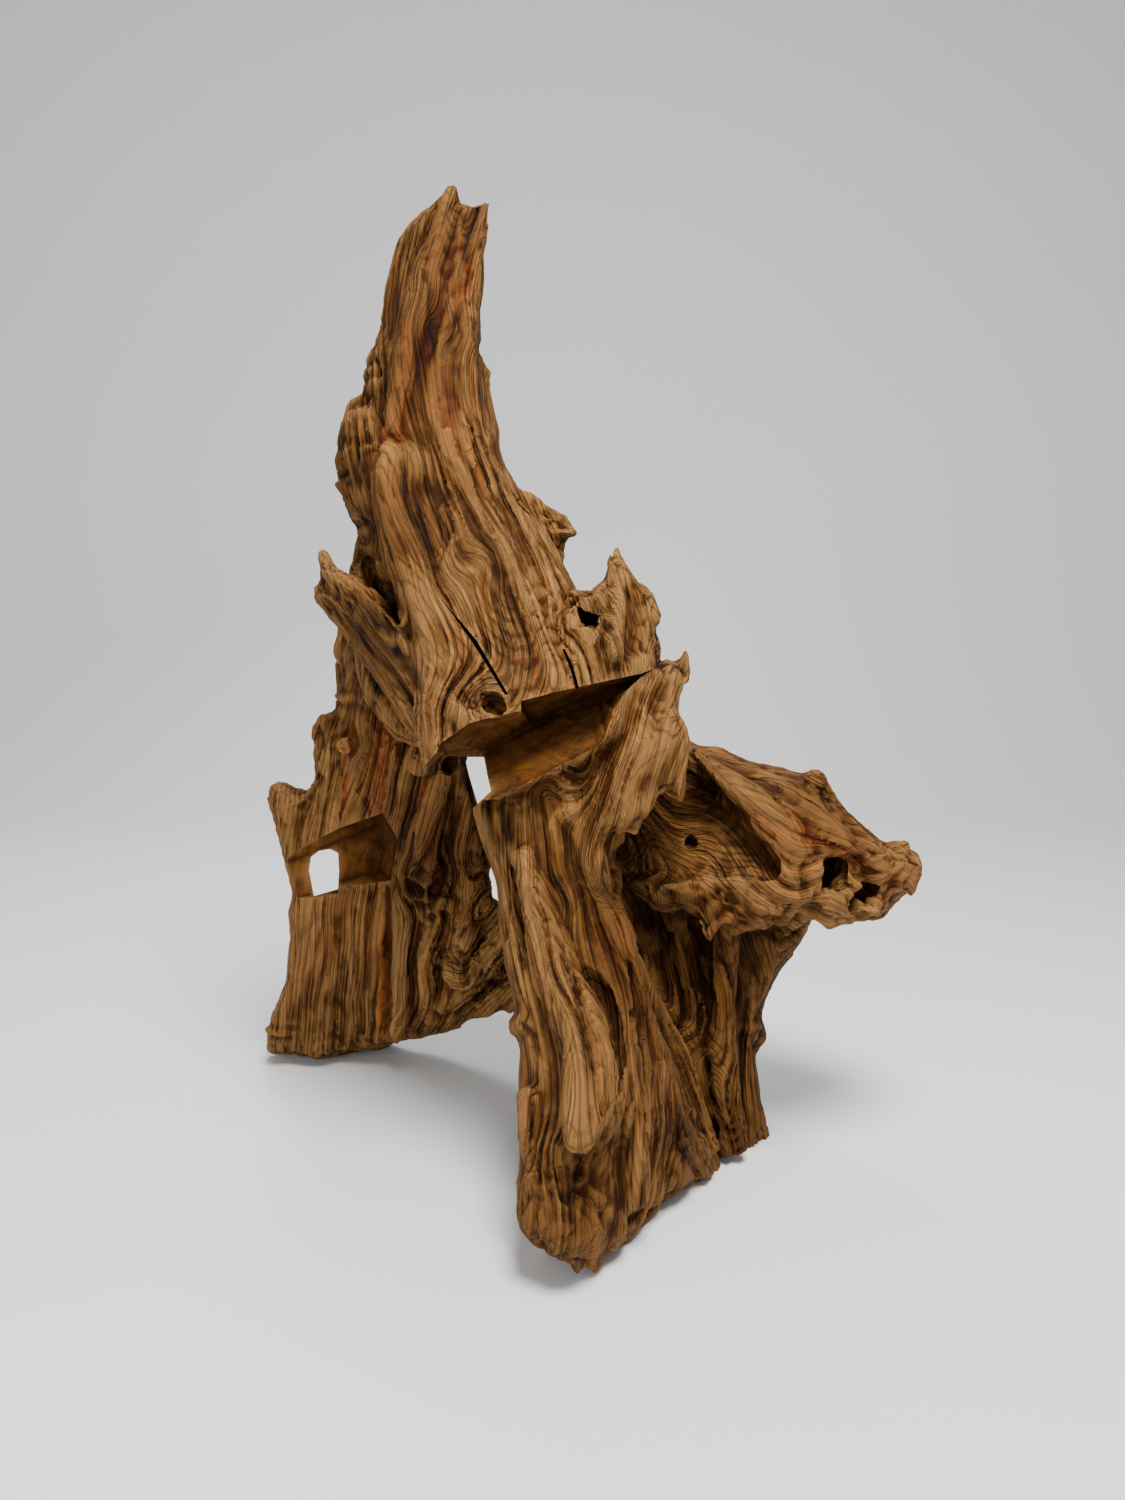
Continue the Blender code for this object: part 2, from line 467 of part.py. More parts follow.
def build_hollows():
    """Rotted hollows and grooves, taken out of the grown body."""
    bowl = [(680, 780, 0.02), (640, 830, 0.02), (700, 845, -0.035), (750, 860, -0.07),
            (770, 880, -0.09), (700, 885, -0.066), (640, 880, -0.025), (740, 815, -0.045)]
    slab("scoop", SCOOP, front=-0.35, back=bowl,
         rim=[(690, 752, 16), (757, 829, 16), (785, 880, 30), (722, 897, 50), (642, 890, 50),
              (612, 842, 14), (690, 798, 10)],
         edge=0.6, collection=hollows)
    slab("scoop_behind_flap", SCOOP_BEHIND_FLAP, front=-0.1, back=bowl, rim=16, edge=0.6,
         collection=hollows)
    knob("root_eye", (589, 619, -0.12), (0.015, 0.09, 0.014), (0, 0, -12), hollows)
    knob("root_eye_side", (577, 608, -0.13), (0.009, 0.05, 0.012), (0, 35, 10), hollows)
    knob("knot_hole", (494, 706, -0.165), (0.017, 0.035, 0.014), (0, 30, 0), hollows)
    knob("scoop_knot", (691, 842, -0.02), (0.008, 0.02, 0.007), (0, 0, 0), hollows)
    knob("snout_eye", (832, 876, -0.09), (0.017, 0.05, 0.02), (0, 20, 0), hollows)
    knob("snout_pit", (858, 894, -0.075), (0.022, 0.04, 0.016), (0, -20, 0), hollows)
    knob("snout_nick", (888, 851, -0.04), (0.012, 0.02, 0.007), (0, 0, 0), hollows)
    slab("log_gap", LOG_GAP, front=-0.3, back=0.05, rim=6, edge=0.6, collection=hollows)
    knob("fold_pit", (448, 768, 0.06), (0.016, 0.05, 0.014), (0, -30, 0), hollows)
    knob("drape_undercut", (584, 1160, -0.335), (0.024, 0.03, 0.014), (0, 20, 0), hollows)
    knob("foot_pit", (612, 1205, -0.31), (0.01, 0.03, 0.022), (0, 15, 0), hollows)
    strand("cavern", [(643, 905, -0.02, 0.01), (650, 935, -0.015, 0.018), (662, 975, -0.02, 0.013),
                      (668, 1010, -0.03, 0.006)], hollows)
    strand("crevice", [(634, 893, -0.03, 0.006), (655, 916, -0.03, 0.014), (680, 922, -0.045, 0.011),
                       (705, 914, -0.065, 0.007), (728, 920, -0.08, 0.004)], hollows)
    strand("tip_groove", [(472, 196, 0.05, 0.009), (470, 222, 0.035, 0.009), (463, 262, 0.005, 0.008),
                          (458, 310, -0.012, 0.004)], hollows)
    strand("log_shadow", [(318, 612, 0.06, 0.008), (345, 645, 0.055, 0.013), (380, 695, 0.045, 0.016),
                          (415, 745, 0.04, 0.016), (432, 765, 0.04, 0.01)], hollows)
    strand("lug_gap", [(510, 478, -0.01, 0.004), (521, 507, 0.0, 0.009), (534, 532, 0.0, 0.009),
                       (550, 556, 0.0, 0.004)], hollows)
    strand("drape_groove", [(576, 940, -0.2, 0.006), (588, 972, -0.2, 0.014), (602, 1005, -0.21, 0.018),
                            (618, 1045, -0.245, 0.016), (626, 1090, -0.275, 0.013), (612, 1140, -0.31, 0.01)],
           hollows)
    strand("twist_groove", [(604, 850, -0.165, 0.004), (632, 935, -0.16, 0.008), (652, 1010, -0.158, 0.01),
                            (676, 1080, -0.15, 0.009), (700, 1140, -0.12, 0.006)], hollows)
    strand("leg_groove", [(508, 830, -0.13, 0.004), (520, 920, -0.16, 0.007), (540, 1010, -0.205, 0.008),
                          (552, 1080, -0.26, 0.005)], hollows)
    strand("plank_crease", [(388, 885, 0.15, 0.006), (387, 960, 0.17, 0.008), (384, 1035, 0.215, 0.007)],
           hollows)
    strand("column_gap", [(748, 955, -0.03, 0.007), (742, 1020, -0.035, 0.01), (746, 1085, -0.035, 0.006)],
           hollows)
    strand("column_gap_left", [(672, 950, -0.03, 0.012), (674, 1040, -0.06, 0.012),
                               (692, 1120, -0.1, 0.01)], hollows)
    strand("snout_slot", [(815, 890, -0.1, 0.008), (838, 896, -0.09, 0.006), (860, 903, -0.08, 0.006)],
           hollows)
    for i, (px, py, depth, radii, turn) in enumerate([
            (470, 600, 0.27, (0.03, 0.04, 0.12), -12), (520, 850, 0.26, (0.03, 0.06, 0.07), -20),
            (650, 790, 0.24, (0.07, 0.05, 0.03), 25), (400, 930, 0.35, (0.02, 0.04, 0.1), 5),
            (610, 1060, 0.0, (0.05, 0.05, 0.06), 0)]):
        knob("back_hollow_%d" % i, (px, py, depth), radii, (0, turn, 0), hollows)


def build_saw_cuts():
    """Flat cuts of a saw: the notch in the front, the slot in the left leg and the ground."""
    upper = [(395, 775), (425, 765), (437, 752), (441, 743), (470, 723), (488, 718), (521, 711),
             (521, 701), (560, 691), (592, 684), (620, 678), (642, 673), (655, 668)]
    upper_deep = [(395, 785), (425, 775), (440, 757), (448, 756), (480, 750), (500, 741), (518, 730),
                  (530, 723), (560, 709), (592, 696), (620, 687), (640, 679), (652, 672)]
    lower = [(641, 677), (626, 691), (613, 711), (605, 736), (598, 746), (565, 763), (520, 786),
             (474, 806), (440, 830), (395, 830)]
    lower_deep = [(642, 680), (622, 691), (611, 698), (602, 702), (592, 705), (560, 714), (520, 734),
                  (482, 756), (440, 830), (395, 830)]
    cut("front_notch", [(-0.5, upper + lower), (-0.15, upper + lower),
                        (-0.06, upper_deep + lower_deep)])
    gap_beside = [(395, 800), (430, 768), (441, 756), (462, 756), (484, 755), (487, 774), (491, 791),
                  (474, 807), (440, 835), (395, 840)]
    gap_through = [(466, 762), (468, 757), (475, 757), (480, 757), (484, 757), (487, 774), (492, 788),
                   (478, 805), (474, 792), (469, 775)]
    cut("gap_beside", [(-0.5, gap_beside), (0.07, gap_beside), (0.08, gap_through), (0.5, gap_through)])
    slot = [(250, 852), (283, 847), (300, 844), (320, 838), (340, 828), (383, 813), (398, 840),
            (391, 880), (378, 882), (340, 889), (339, 896), (300, 903), (285, 911), (250, 920)]
    slot_deep = [(262, 866), (284, 862), (301, 857), (321, 850), (341, 840), (376, 827), (384, 842),
                 (380, 868), (372, 872), (339, 882), (338, 889), (300, 897), (285, 903), (262, 908)]
    cut("leg_slot", [(-0.1, slot), (0.15, slot), (0.178, slot_deep)])
    window = [(309, 870), (311, 857), (319, 851), (330, 849), (338, 853), (339, 870), (338, 889),
              (314, 896)]
    cut("leg_window", [(0.0, window), (0.5, window)])
    crack = [(441, 599), (443, 600), (477, 641), (508, 694), (505, 695), (473, 643)]
    crack_deep = [(441, 600), (442, 600), (476, 642), (507, 694), (506, 695), (474, 643)]
    cut("long_crack", [(-0.3, crack), (-0.12, crack), (-0.085, crack_deep)])
    split = [(562, 649), (565, 649), (573, 666), (579, 688), (576, 690), (570, 668)]
    split_deep = [(563, 650), (564, 650), (572, 667), (578, 688), (577, 689), (571, 668)]
    cut("short_crack", [(-0.3, split), (-0.14, split), (-0.11, split_deep)])
    ground = bmesh.new()
    bmesh.ops.create_cube(ground, size=1, matrix=Matrix.Translation((0, 0, -0.5)) @ Matrix.Scale(
        3, 4, (1, 0, 0)) @ Matrix.Scale(3, 4, (0, 1, 0)))
    mesh = bpy.data.meshes.new("ground")
    ground.to_mesh(mesh)
    ground.free()
    link("ground", mesh, saw_cuts)


# The lines the grain follows, points (px, py, depth), with the reach of each in metres.
GRAIN = {
    "horn": (0.09, [(458, 190, 0.06), (440, 260, 0.06), (430, 350, 0.06), (432, 440, 0.04),
                    (470, 540, 0.0), (530, 660, -0.05), (570, 730, -0.05)]),
    "log": (0.04, [(318, 556, 0.03), (345, 600, 0.02), (400, 665, -0.04), (460, 745, -0.09)]),
    "left_leg": (0.08, [(410, 600, 0.14), (385, 700, 0.16), (350, 850, 0.2), (335, 1055, 0.28)]),
    "curtain": (0.06, [(475, 700, 0.12), (455, 780, 0.16), (430, 850, 0.19), (440, 930, 0.2),
                       (420, 1040, 0.27)]),
    "web": (0.06, [(560, 900, 0.1), (500, 960, 0.18), (440, 1020, 0.25)]),
    "front_leg": (0.08, [(530, 720, -0.06), (540, 850, -0.08), (575, 980, -0.11),
                         (590, 1080, -0.18), (575, 1265, -0.27)]),
    "twist": (0.05, [(590, 820, -0.09), (625, 950, -0.08), (665, 1080, -0.1), (700, 1180, -0.08)]),
    "flap": (0.04, [(680, 655, -0.08), (650, 720, -0.14), (620, 850, -0.155)]),
    "spike": (0.05, [(616, 548, -0.05), (628, 620, -0.06), (610, 700, -0.08)]),
    "arm": (0.08, [(620, 740, 0.08), (720, 790, 0.06), (800, 845, 0.02), (915, 880, 0.01)]),
    "right_leg": (0.08, [(690, 880, 0.1), (725, 990, 0.06), (730, 1175, 0.03)]),
    "core": (0.1, [(470, 560, 0.14), (540, 700, 0.14), (600, 850, 0.12), (680, 980, 0.1)]),
}


def grain_line(path):
    """A smooth curve through path: its points, the length to each, and the ways along, across and deep."""
    spots = np.array([seen(*spot) for spot in path])
    steps = np.linspace(0, len(spots) - 1, 8 * (len(spots) - 1) + 1)
    curve = np.stack([np.interp(steps, np.arange(len(spots)), axis) for axis in spots.T], axis=-1)
    for _ in range(24):
        curve[1:-1] = (curve[:-2] + 2 * curve[1:-1] + curve[2:]) / 4
    length = np.concatenate([[0], np.cumsum(np.linalg.norm(np.diff(curve, axis=0), axis=1))])
    way = np.gradient(curve, axis=0)
    way /= np.linalg.norm(way, axis=1)[:, None]
    deep = np.array([0, 1, 0]) - way * way[:, 1:2]
    deep /= np.linalg.norm(deep, axis=1)[:, None]
    return curve, length, way, np.cross(way, deep), deep


def grain(points, path):
    """Distance to the grain line, and the place along, across and deep of each point by it."""
    curve, length, way, side, deep = grain_line(path)
    apart = (points ** 2).sum(1)[:, None] - 2 * points @ curve.T + (curve ** 2).sum(1)
    near = apart.argmin(1)
    place = length[near] + ((points - curve[near]) * way[near]).sum(1)

    def there(values):
        return np.stack([np.interp(place, length, axis) for axis in values.T], axis=-1)

    off = points - there(curve)
    gap = np.linalg.norm(off, axis=1)
    ways = there(way)
    off -= (off * ways).sum(1)[:, None] * ways
    return np.stack([gap, place, (off * there(side)).sum(1), (off * there(deep)).sum(1)])


def flute(along, across, deep, seed):
    """Rounded ridges with narrow valleys between, along the grain."""
    bend = 0.012 * noise.noise(Vector((along * 9, across * 6, seed)))
    wide = noise.noise(Vector(((across + bend) / FLUTE_WIDTH, deep / FLUTE_WIDTH,
                               along / FLUTE_LENGTH + seed)))
    return abs(wide) - 0.22


def weathered(obj):
    """Moves the surface in and out: flutes with the grain, and gnarls."""
    points = read_points(obj)
    normals = np.empty(len(points) * 3)
    obj.data.vertices.foreach_get("normal", normals)
    weights, rises = [], []
    for seed, (reach, path) in enumerate(GRAIN.values()):
        gap, along, across, deep = grain(points, path)
        weight = np.exp(-np.minimum(gap / reach, 60) * 6)
        rise = np.array([flute(*spot, seed * 7.3) for spot in zip(along, across, deep)])
        weights.append(weight)
        rises.append(rise)
    weights, rises = np.array(weights) + 1e-30, np.array(rises)
    rise = FLUTE_RISE * (weights * rises).sum(0) / weights.sum(0)
    rise += GNARL_RISE * np.array([noise.fractal(Vector(p) / GNARL_SIZE, 0.7, 2, 3) for p in points])
    set_points(obj, points + rise[:, None] * normals.reshape(-1, 3))


def one_body(obj):
    """Leaves the biggest shell only: closes the cavities that the fused pieces shut in."""
    shape = bmesh.new()
    shape.from_mesh(obj.data)
    left, shells = set(shape.verts), []
    while left:
        shell, edge = set(), [left.pop()]
        while edge:
            vert = edge.pop()
            shell.add(vert)
            for side in vert.link_edges:
                other = side.other_vert(vert)
                if other in left:
                    left.discard(other)
                    edge.append(other)
        shells.append(shell)
    biggest = max(shells, key=len)
    bmesh.ops.delete(shape, geom=[v for v in shape.verts if v not in biggest], context="VERTS")
    shape.to_mesh(obj.data)
    shape.free()
    return len(shells)


def fuse(objects, name, step):
    """One closed body in place of the overlapping ones."""
    shape = bmesh.new()
    for obj in objects:
        shape.from_mesh(obj.data)
        bpy.data.objects.remove(obj)
    mesh = bpy.data.meshes.new(name)
    shape.to_mesh(mesh)
    shape.free()
    obj = link(name, mesh, root_collection)
    applied(obj, "REMESH", mode="VOXEL", voxel_size=step)
    one_body(obj)
    return obj


def new_collection(name):
    made = bpy.data.collections.new(name)
    bpy.context.scene.collection.children.link(made)
    return made


for old in list(bpy.data.objects):
    bpy.data.objects.remove(old)
root_collection = new_collection("dry_root")
pieces = new_collection("pieces")
hollows = new_collection("hollows")
saw_cuts = new_collection("saw_cuts")
build_pieces()
build_ridges()
build_hollows()
build_saw_cuts()

root = fuse(list(pieces.objects), "root", FUSE_STEP)
bpy.data.collections.remove(pieces)
applied(root, "SMOOTH", iterations=FUSE_ROUNDS, factor=0.5)
# The hollows and cuts cross one another on a dense organic surface, which the exact solver takes
# many minutes for and leaves slivers on, and the manifold solver cuts cleanly.
for cutter in hollows.objects:
    applied(root, "BOOLEAN", operation="DIFFERENCE", object=cutter, solver="MANIFOLD")
applied(root, "REMESH", mode="VOXEL", voxel_size=FUSE_STEP)
applied(root, "SMOOTH", iterations=1, factor=0.5)
one_body(root)
weathered(root)
applied(root, "TRIANGULATE")
applied(root, "DECIMATE", ratio=TRIANGLES / len(root.data.polygons), use_collapse_triangulate=True)
for cutter in saw_cuts.objects:
    applied(root, "BOOLEAN", operation="DIFFERENCE", object=cutter, solver="MANIFOLD")
shells = one_body(root)
applied(root, "TRIANGULATE")
for cutter in list(hollows.objects) + list(saw_cuts.objects):
    cutter.hide_render = True
    cutter.display_type = "WIRE"

# The origin is under the middle of the box, on the ground.
points = read_points(root)
low, high = points.min(0), points.max(0)
OFFSET = ((low[0] + high[0]) / 2, (low[1] + high[1]) / 2, low[2])
root.data.transform(Matrix.Translation(-Vector(OFFSET)))
for cutter in list(hollows.objects) + list(saw_cuts.objects):
    cutter.data.transform(Matrix.Translation(-Vector(OFFSET)))

wood = bpy.data.materials.new("weathered_wood")
wood.use_nodes = True
shader = wood.node_tree.nodes["Principled BSDF"]
shader.inputs["Base Color"].default_value = WOOD_COLOUR
shader.inputs["Roughness"].default_value = WOOD_ROUGHNESS
shader.inputs["Metallic"].default_value = 0.0
root.data.materials.clear()
root.data.materials.append(wood)
root.data.shade_smooth()
root.data.set_sharp_from_angle(angle=radians(40))
print("root:", len(root.data.polygons), "faces,", shells, "shell(s) after the cuts, offset", OFFSET)
print("size:", [round(float(v), 3) for v in high - low])
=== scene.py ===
# %% [markdown]
# # A dry root on three feet
#
# The real thing is the root of an old tree, dug out, dried and left rough. A saw has cut a notch
# across its front and a slot through its left leg, and the rest was shaped by growth, rain and rot.
# It is one piece of wood, so this scene makes one mesh. It grows from simple bodies that overlap,
# which are then fused, hollowed, worn along the grain and sawn, in the order of a real root's life.

import json
from math import cos, pi, radians, sin

import bmesh
import bpy
import numpy as np
from mathutils import Matrix, Vector, noise

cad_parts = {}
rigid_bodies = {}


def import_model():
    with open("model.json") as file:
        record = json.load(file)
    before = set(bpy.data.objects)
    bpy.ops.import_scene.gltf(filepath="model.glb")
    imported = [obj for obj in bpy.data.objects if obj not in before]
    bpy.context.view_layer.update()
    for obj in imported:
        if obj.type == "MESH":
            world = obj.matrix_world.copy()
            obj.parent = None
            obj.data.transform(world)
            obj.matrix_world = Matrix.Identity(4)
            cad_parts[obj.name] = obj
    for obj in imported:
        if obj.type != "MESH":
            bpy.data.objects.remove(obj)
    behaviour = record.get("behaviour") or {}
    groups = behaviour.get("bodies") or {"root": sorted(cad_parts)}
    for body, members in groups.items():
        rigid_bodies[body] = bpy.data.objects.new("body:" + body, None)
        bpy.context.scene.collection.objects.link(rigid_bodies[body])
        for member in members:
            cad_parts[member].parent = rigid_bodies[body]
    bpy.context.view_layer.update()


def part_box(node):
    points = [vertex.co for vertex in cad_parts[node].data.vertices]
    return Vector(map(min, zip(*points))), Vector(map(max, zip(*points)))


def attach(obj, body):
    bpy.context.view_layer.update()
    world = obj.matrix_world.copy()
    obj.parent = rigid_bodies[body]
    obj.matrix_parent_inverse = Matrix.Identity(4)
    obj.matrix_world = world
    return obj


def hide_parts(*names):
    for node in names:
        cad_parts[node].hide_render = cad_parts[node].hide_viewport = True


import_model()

# %% [markdown]
# ## Sizes
#
# Every size is in metres. The root's outlines were read off a photograph in its pixels, so the
# first numbers say where the picture was taken from: 1.43 m before the middle of the root and
# 0.72 m up, looking down by 7.5 degrees through a wide lens.

# %% Sizes
VIEW_DISTANCE = 1.43
VIEW_HEIGHT = 0.72
PHOTO_CENTRE = (562.5, 750.0)
PHOTO_HEIGHT = 1500
FOCAL_PIXELS = 1127.0
EYE = (0.0, -VIEW_DISTANCE, VIEW_HEIGHT)
EYE_DIP = radians(7.5)
# From the middle of the picture to the middle of the root.
OFFSET = (-0.0014880895614624023, 0.004825472831726074, 0.0)

PIXEL = 0.001  # a slab is drawn at 1 mm a pixel before it is set in space
SLAB_CELL = 0.005
SLAB_HALF = 0.025
FUSE_STEP = 0.005  # cells in which the pieces grow together
FUSE_ROUNDS = 3
FINE_STEP = 0.0033  # cells of the surface that the weather then works on
SAW_STEP = 0.009  # largest triangle side on a sawn face
SAW_ROUNDS = 7  # how often a saw cut's faces may be split to get there
TRIANGLES = 171000  # after thinning, before the saw adds its own

# %% [markdown]
# ## Sight lines
#
# A pixel of a picture is a sight line in space, and a depth picks one point on it. `seen` does
# that, so a shape drawn over the photograph falls in the right place in the round. `surface` turns
# a few known depths into a smooth sheet between them, as a thin metal plate would bend through
# them, and `inset` tells how far a spot is from the edge of an outline.

# %% From the picture to space
def seen(px, py, depth):
    """The point at this depth that the viewpoint sees at pixel px, py."""
    px, py, depth = (np.asarray(v, float) for v in (px, py, depth))
    across = (px - PHOTO_CENTRE[0]) / FOCAL_PIXELS
    up = (PHOTO_CENTRE[1] - py) / FOCAL_PIXELS
    way_y = cos(EYE_DIP) + up * sin(EYE_DIP)
    way_z = up * cos(EYE_DIP) - sin(EYE_DIP)
    reach = (depth - EYE[1]) / way_y
    return np.stack([EYE[0] + reach * across, depth + 0 * reach, EYE[2] + reach * way_z], axis=-1)


def surface(anchors):
    """A smooth value over the picture through anchors (px, py, value): a thin plate."""
    if not isinstance(anchors, list):
        return lambda px, py: np.full(len(px), float(anchors))
    known = np.array(anchors, float)
    spots = known[:, :2] / 100
    count = len(known)

    def plate(a, b):
        gap = ((a[:, None, :] - b[None, :, :]) ** 2).sum(-1)
        return 0.5 * gap * np.log(gap + 1e-12)

    flat = np.hstack([np.ones((count, 1)), spots])
    left = np.block([[plate(spots, spots), flat], [flat.T, np.zeros((3, 3))]])
    weights = np.linalg.solve(left, np.concatenate([known[:, 2], np.zeros(3)]))

    def value(px, py):
        at = np.stack([px, py], axis=-1) / 100
        return plate(at, spots) @ weights[:count] + weights[count] + at @ weights[count + 1 :]

    return value


def inset(px, py, outline):
    """Distance in pixels from each point to the outline."""
    corners = np.array(outline, float)
    spots = np.stack([px, py], axis=-1)
    nearest = np.full(len(spots), 1e9)
    for start, end in zip(corners, np.roll(corners, -1, axis=0)):
        side = end - start
        share = np.clip((spots - start) @ side / (side @ side), 0, 1)
        nearest = np.minimum(nearest, np.linalg.norm(spots - start - share[:, None] * side, axis=1))
    return nearest


print("a spot in the middle of the block lies at", seen(500, 600, -0.11).round(3))

# %% [markdown]
# ## Small tools
#
# A root has no straight parts, but it can be blocked out with four kinds of body: slabs, strands,
# knobs and the cuts of a saw. All of them go through the same few steps, such as applying a
# modifier, turning a curve into a mesh or reading all points of a mesh at once. Those steps come
# first, as small tools. Reading the points as one array is what keeps the later steps quick.

# %% Small tools
def applied(obj, kind, **settings):
    """Adds a modifier of this kind to obj and applies it."""
    modifier = obj.modifiers.new(kind.title(), kind)
    for name, value in settings.items():
        setattr(modifier, name, value)
    made = bpy.data.meshes.new_from_object(obj.evaluated_get(bpy.context.evaluated_depsgraph_get()))
    old = obj.data
    obj.modifiers.clear()
    obj.data = made
    bpy.data.meshes.remove(old)


def link(name, mesh, collection):
    obj = bpy.data.objects.new(name, mesh)
    collection.objects.link(obj)
    bpy.context.view_layer.update()
    return obj


def meshed(obj, name):
    """A mesh object in place of a curve object, with the curve's caps welded to its sides."""
    bpy.context.view_layer.update()
    mesh = bpy.data.meshes.new_from_object(obj.evaluated_get(bpy.context.evaluated_depsgraph_get()))
    mesh.transform(obj.matrix_world)
    shape = bmesh.new()
    shape.from_mesh(mesh)
    bmesh.ops.remove_doubles(shape, verts=shape.verts, dist=1e-5)
    bmesh.ops.recalc_face_normals(shape, faces=shape.faces)
    shape.to_mesh(mesh)
    shape.free()
    collection = obj.users_collection[0]
    bpy.data.objects.remove(obj)
    return link(name, mesh, collection)


def read_points(obj):
    flat = np.empty(len(obj.data.vertices) * 3)
    obj.data.vertices.foreach_get("co", flat)
    return flat.reshape(-1, 3)


def set_points(obj, points):
    obj.data.vertices.foreach_set("co", points.ravel())
    obj.data.update()


def new_collection(name):
    made = bpy.data.collections.new(name)
    bpy.context.scene.collection.children.link(made)
    return made


pieces = new_collection("pieces")
hollows = new_collection("hollows")
saw_cuts = new_collection("saw_cuts")
root_collection = new_collection("dry_root")
print("collections:", ", ".join(made.name for made in bpy.context.scene.collection.children))

# %% [markdown]
# ## A slab
#
# Most bodies of the root are broad, with an outline that the photograph shows. A `slab` keeps that
# outline as seen and swells between two depths. It starts as a flat curve that is filled and
# extruded. A voxel remesh gives it an even net of points, and each point is then moved to its
# sight line and its depth. Sculpting could reach such a shape, but would lose the exact outline.

# %% A slab
def slab(name, outline, front, back, rim, edge=0.25, collection=None):
    """A body with this outline as seen. front and back are depths or anchors of its two faces,
    which curve in over the rim, in pixels, and keep the share edge of their distance there."""
    drawn = bpy.data.curves.new(name, "CURVE")
    drawn.dimensions = "2D"
    drawn.fill_mode = "BOTH"
    drawn.extrude = SLAB_HALF
    spline = drawn.splines.new("POLY")
    spline.points.add(len(outline) - 1)
    for point, (px, py) in zip(spline.points, outline):
        point.co = (px * PIXEL, -py * PIXEL, 0, 1)
    spline.use_cyclic_u = True
    obj = meshed(link(name, drawn, collection or pieces), name)
    applied(obj, "REMESH", mode="VOXEL", voxel_size=SLAB_CELL)
    flat = read_points(obj)
    px, py = flat[:, 0] / PIXEL, -flat[:, 1] / PIXEL
    side = np.clip(-flat[:, 2] / (SLAB_HALF - 0.3 * SLAB_CELL), -1, 1)
    near, far = surface(front)(px, py), surface(back)(px, py)
    curve = np.clip(inset(px, py, outline) / surface(rim)(px, py), 0, 1)
    swell = edge + (1 - edge) * np.sqrt(1 - (1 - curve) ** 2)
    set_points(obj, seen(px, py, (near + far) / 2 + side * (far - near) / 2 * swell))


print("a slab starts", 2 * SLAB_HALF, "m thick, in cells of", SLAB_CELL, "m")

# %% [markdown]
# ## Strands, knobs and saw cuts
#
# A `strand` is a round limb along a curve: a ridge or rib, or a groove where it is taken away. A
# `knob` is an egg, for a burr or a pit. A `cut` is the space that a saw clears, as a stack of
# outlines joined one to the next.

# %% Strands, knobs and saw cuts
def strand(name, path, collection=None):
    """A round limb through path, points (px, py, depth, radius in metres)."""
    drawn = bpy.data.curves.new(name, "CURVE")
    drawn.dimensions = "3D"
    drawn.bevel_depth = 1.0
    drawn.bevel_resolution = 2
    drawn.use_fill_caps = True
    drawn.resolution_u = 6
    spline = drawn.splines.new("NURBS")
    spline.points.add(len(path) - 1)
    for point, (px, py, depth, radius) in zip(spline.points, path):
        point.co = (*seen(px, py, depth), 1)
        point.radius = radius
    spline.order_u = 3
    spline.use_endpoint_u = True
    meshed(link(name, drawn, collection or pieces), name)


def knob(name, centre, radii, turn=(0, 0, 0), collection=None):
    """An egg: centre (px, py, depth), radii in metres, turned by degrees."""
    shape = bmesh.new()
    bmesh.ops.create_icosphere(shape, subdivisions=3, radius=1)
    mesh = bpy.data.meshes.new(name)
    place = Matrix.Translation(Vector(seen(*centre)))
    for axis, angle in zip("XYZ", turn):
        place = place @ Matrix.Rotation(radians(angle), 4, axis)
    shape.transform(place @ Matrix.Diagonal((*radii, 1)))
    shape.to_mesh(mesh)
    shape.free()
    link(name, mesh, collection or pieces)


def cut(name, rings):
    """A saw cut: rings (depth, outline) with as many points each, joined one to the next."""
    shape = bmesh.new()
    loops = [[shape.verts.new(seen(px, py, depth)) for px, py in outline] for depth, outline in rings]
    shape.faces.new(loops[0])
    shape.faces.new(reversed(loops[-1]))
    for near, far in zip(loops, loops[1:]):
        for i in range(len(near)):
            j = (i + 1) % len(near)
            shape.faces.new((near[j], near[i], far[i], far[j]))
    bmesh.ops.triangulate(shape, faces=shape.faces)
    bmesh.ops.recalc_face_normals(shape, faces=shape.faces)
    for _ in range(SAW_ROUNDS):
        long = [edge for edge in shape.edges if edge.calc_length() > SAW_STEP]
        if not long:
            break
        bmesh.ops.subdivide_edges(shape, edges=long, cuts=1)
        bmesh.ops.triangulate(shape, faces=shape.faces)
    mesh = bpy.data.meshes.new(name)
    shape.to_mesh(mesh)
    shape.free()
    link(name, mesh, saw_cuts)


print("a strand, a knob and a cut are ready too")

# %% [markdown]
# ## The horn
#
# The tall horn ends in two split tips with a groove between them. Its left cheek is gnarled where
# side roots once left it, so a few knobs break that edge. Long strands lie just under its skin:
# once the bodies are fused they show as the ridges that the grain follows.

# %% The horn
HORN = [
    (345, 505), (338, 470), (337, 440), (343, 420), (352, 405), (365, 399), (372, 385),
    (369, 370), (368, 352), (378, 345), (376, 338), (381, 330), (385, 310), (388, 290),
    (394, 265), (402, 245), (412, 225), (425, 210), (436, 201), (442, 200), (447, 190),
    (455, 186), (459, 188), (459, 203), (465, 207), (473, 210), (478, 203), (485, 198),
    (490, 199), (487, 212), (484, 225), (480, 238), (479, 270), (478, 300), (478, 330),
    (480, 360), (485, 361), (485, 373), (488, 385), (490, 405), (494, 420), (497, 440),
    (500, 460), (512, 475), (522, 495), (537, 520), (555, 548), (573, 588), (590, 640),
    (420, 660), (352, 580), (359, 535), (353, 520),
]
slab("horn", HORN,
     front=[(450, 200, 0.03), (430, 320, 0.0), (430, 440, -0.03), (520, 560, -0.06),
            (400, 620, -0.02)],
     back=[(450, 200, 0.09), (430, 320, 0.12), (430, 440, 0.15), (520, 560, 0.16),
           (400, 620, 0.18)],
     rim=55, edge=0.1)
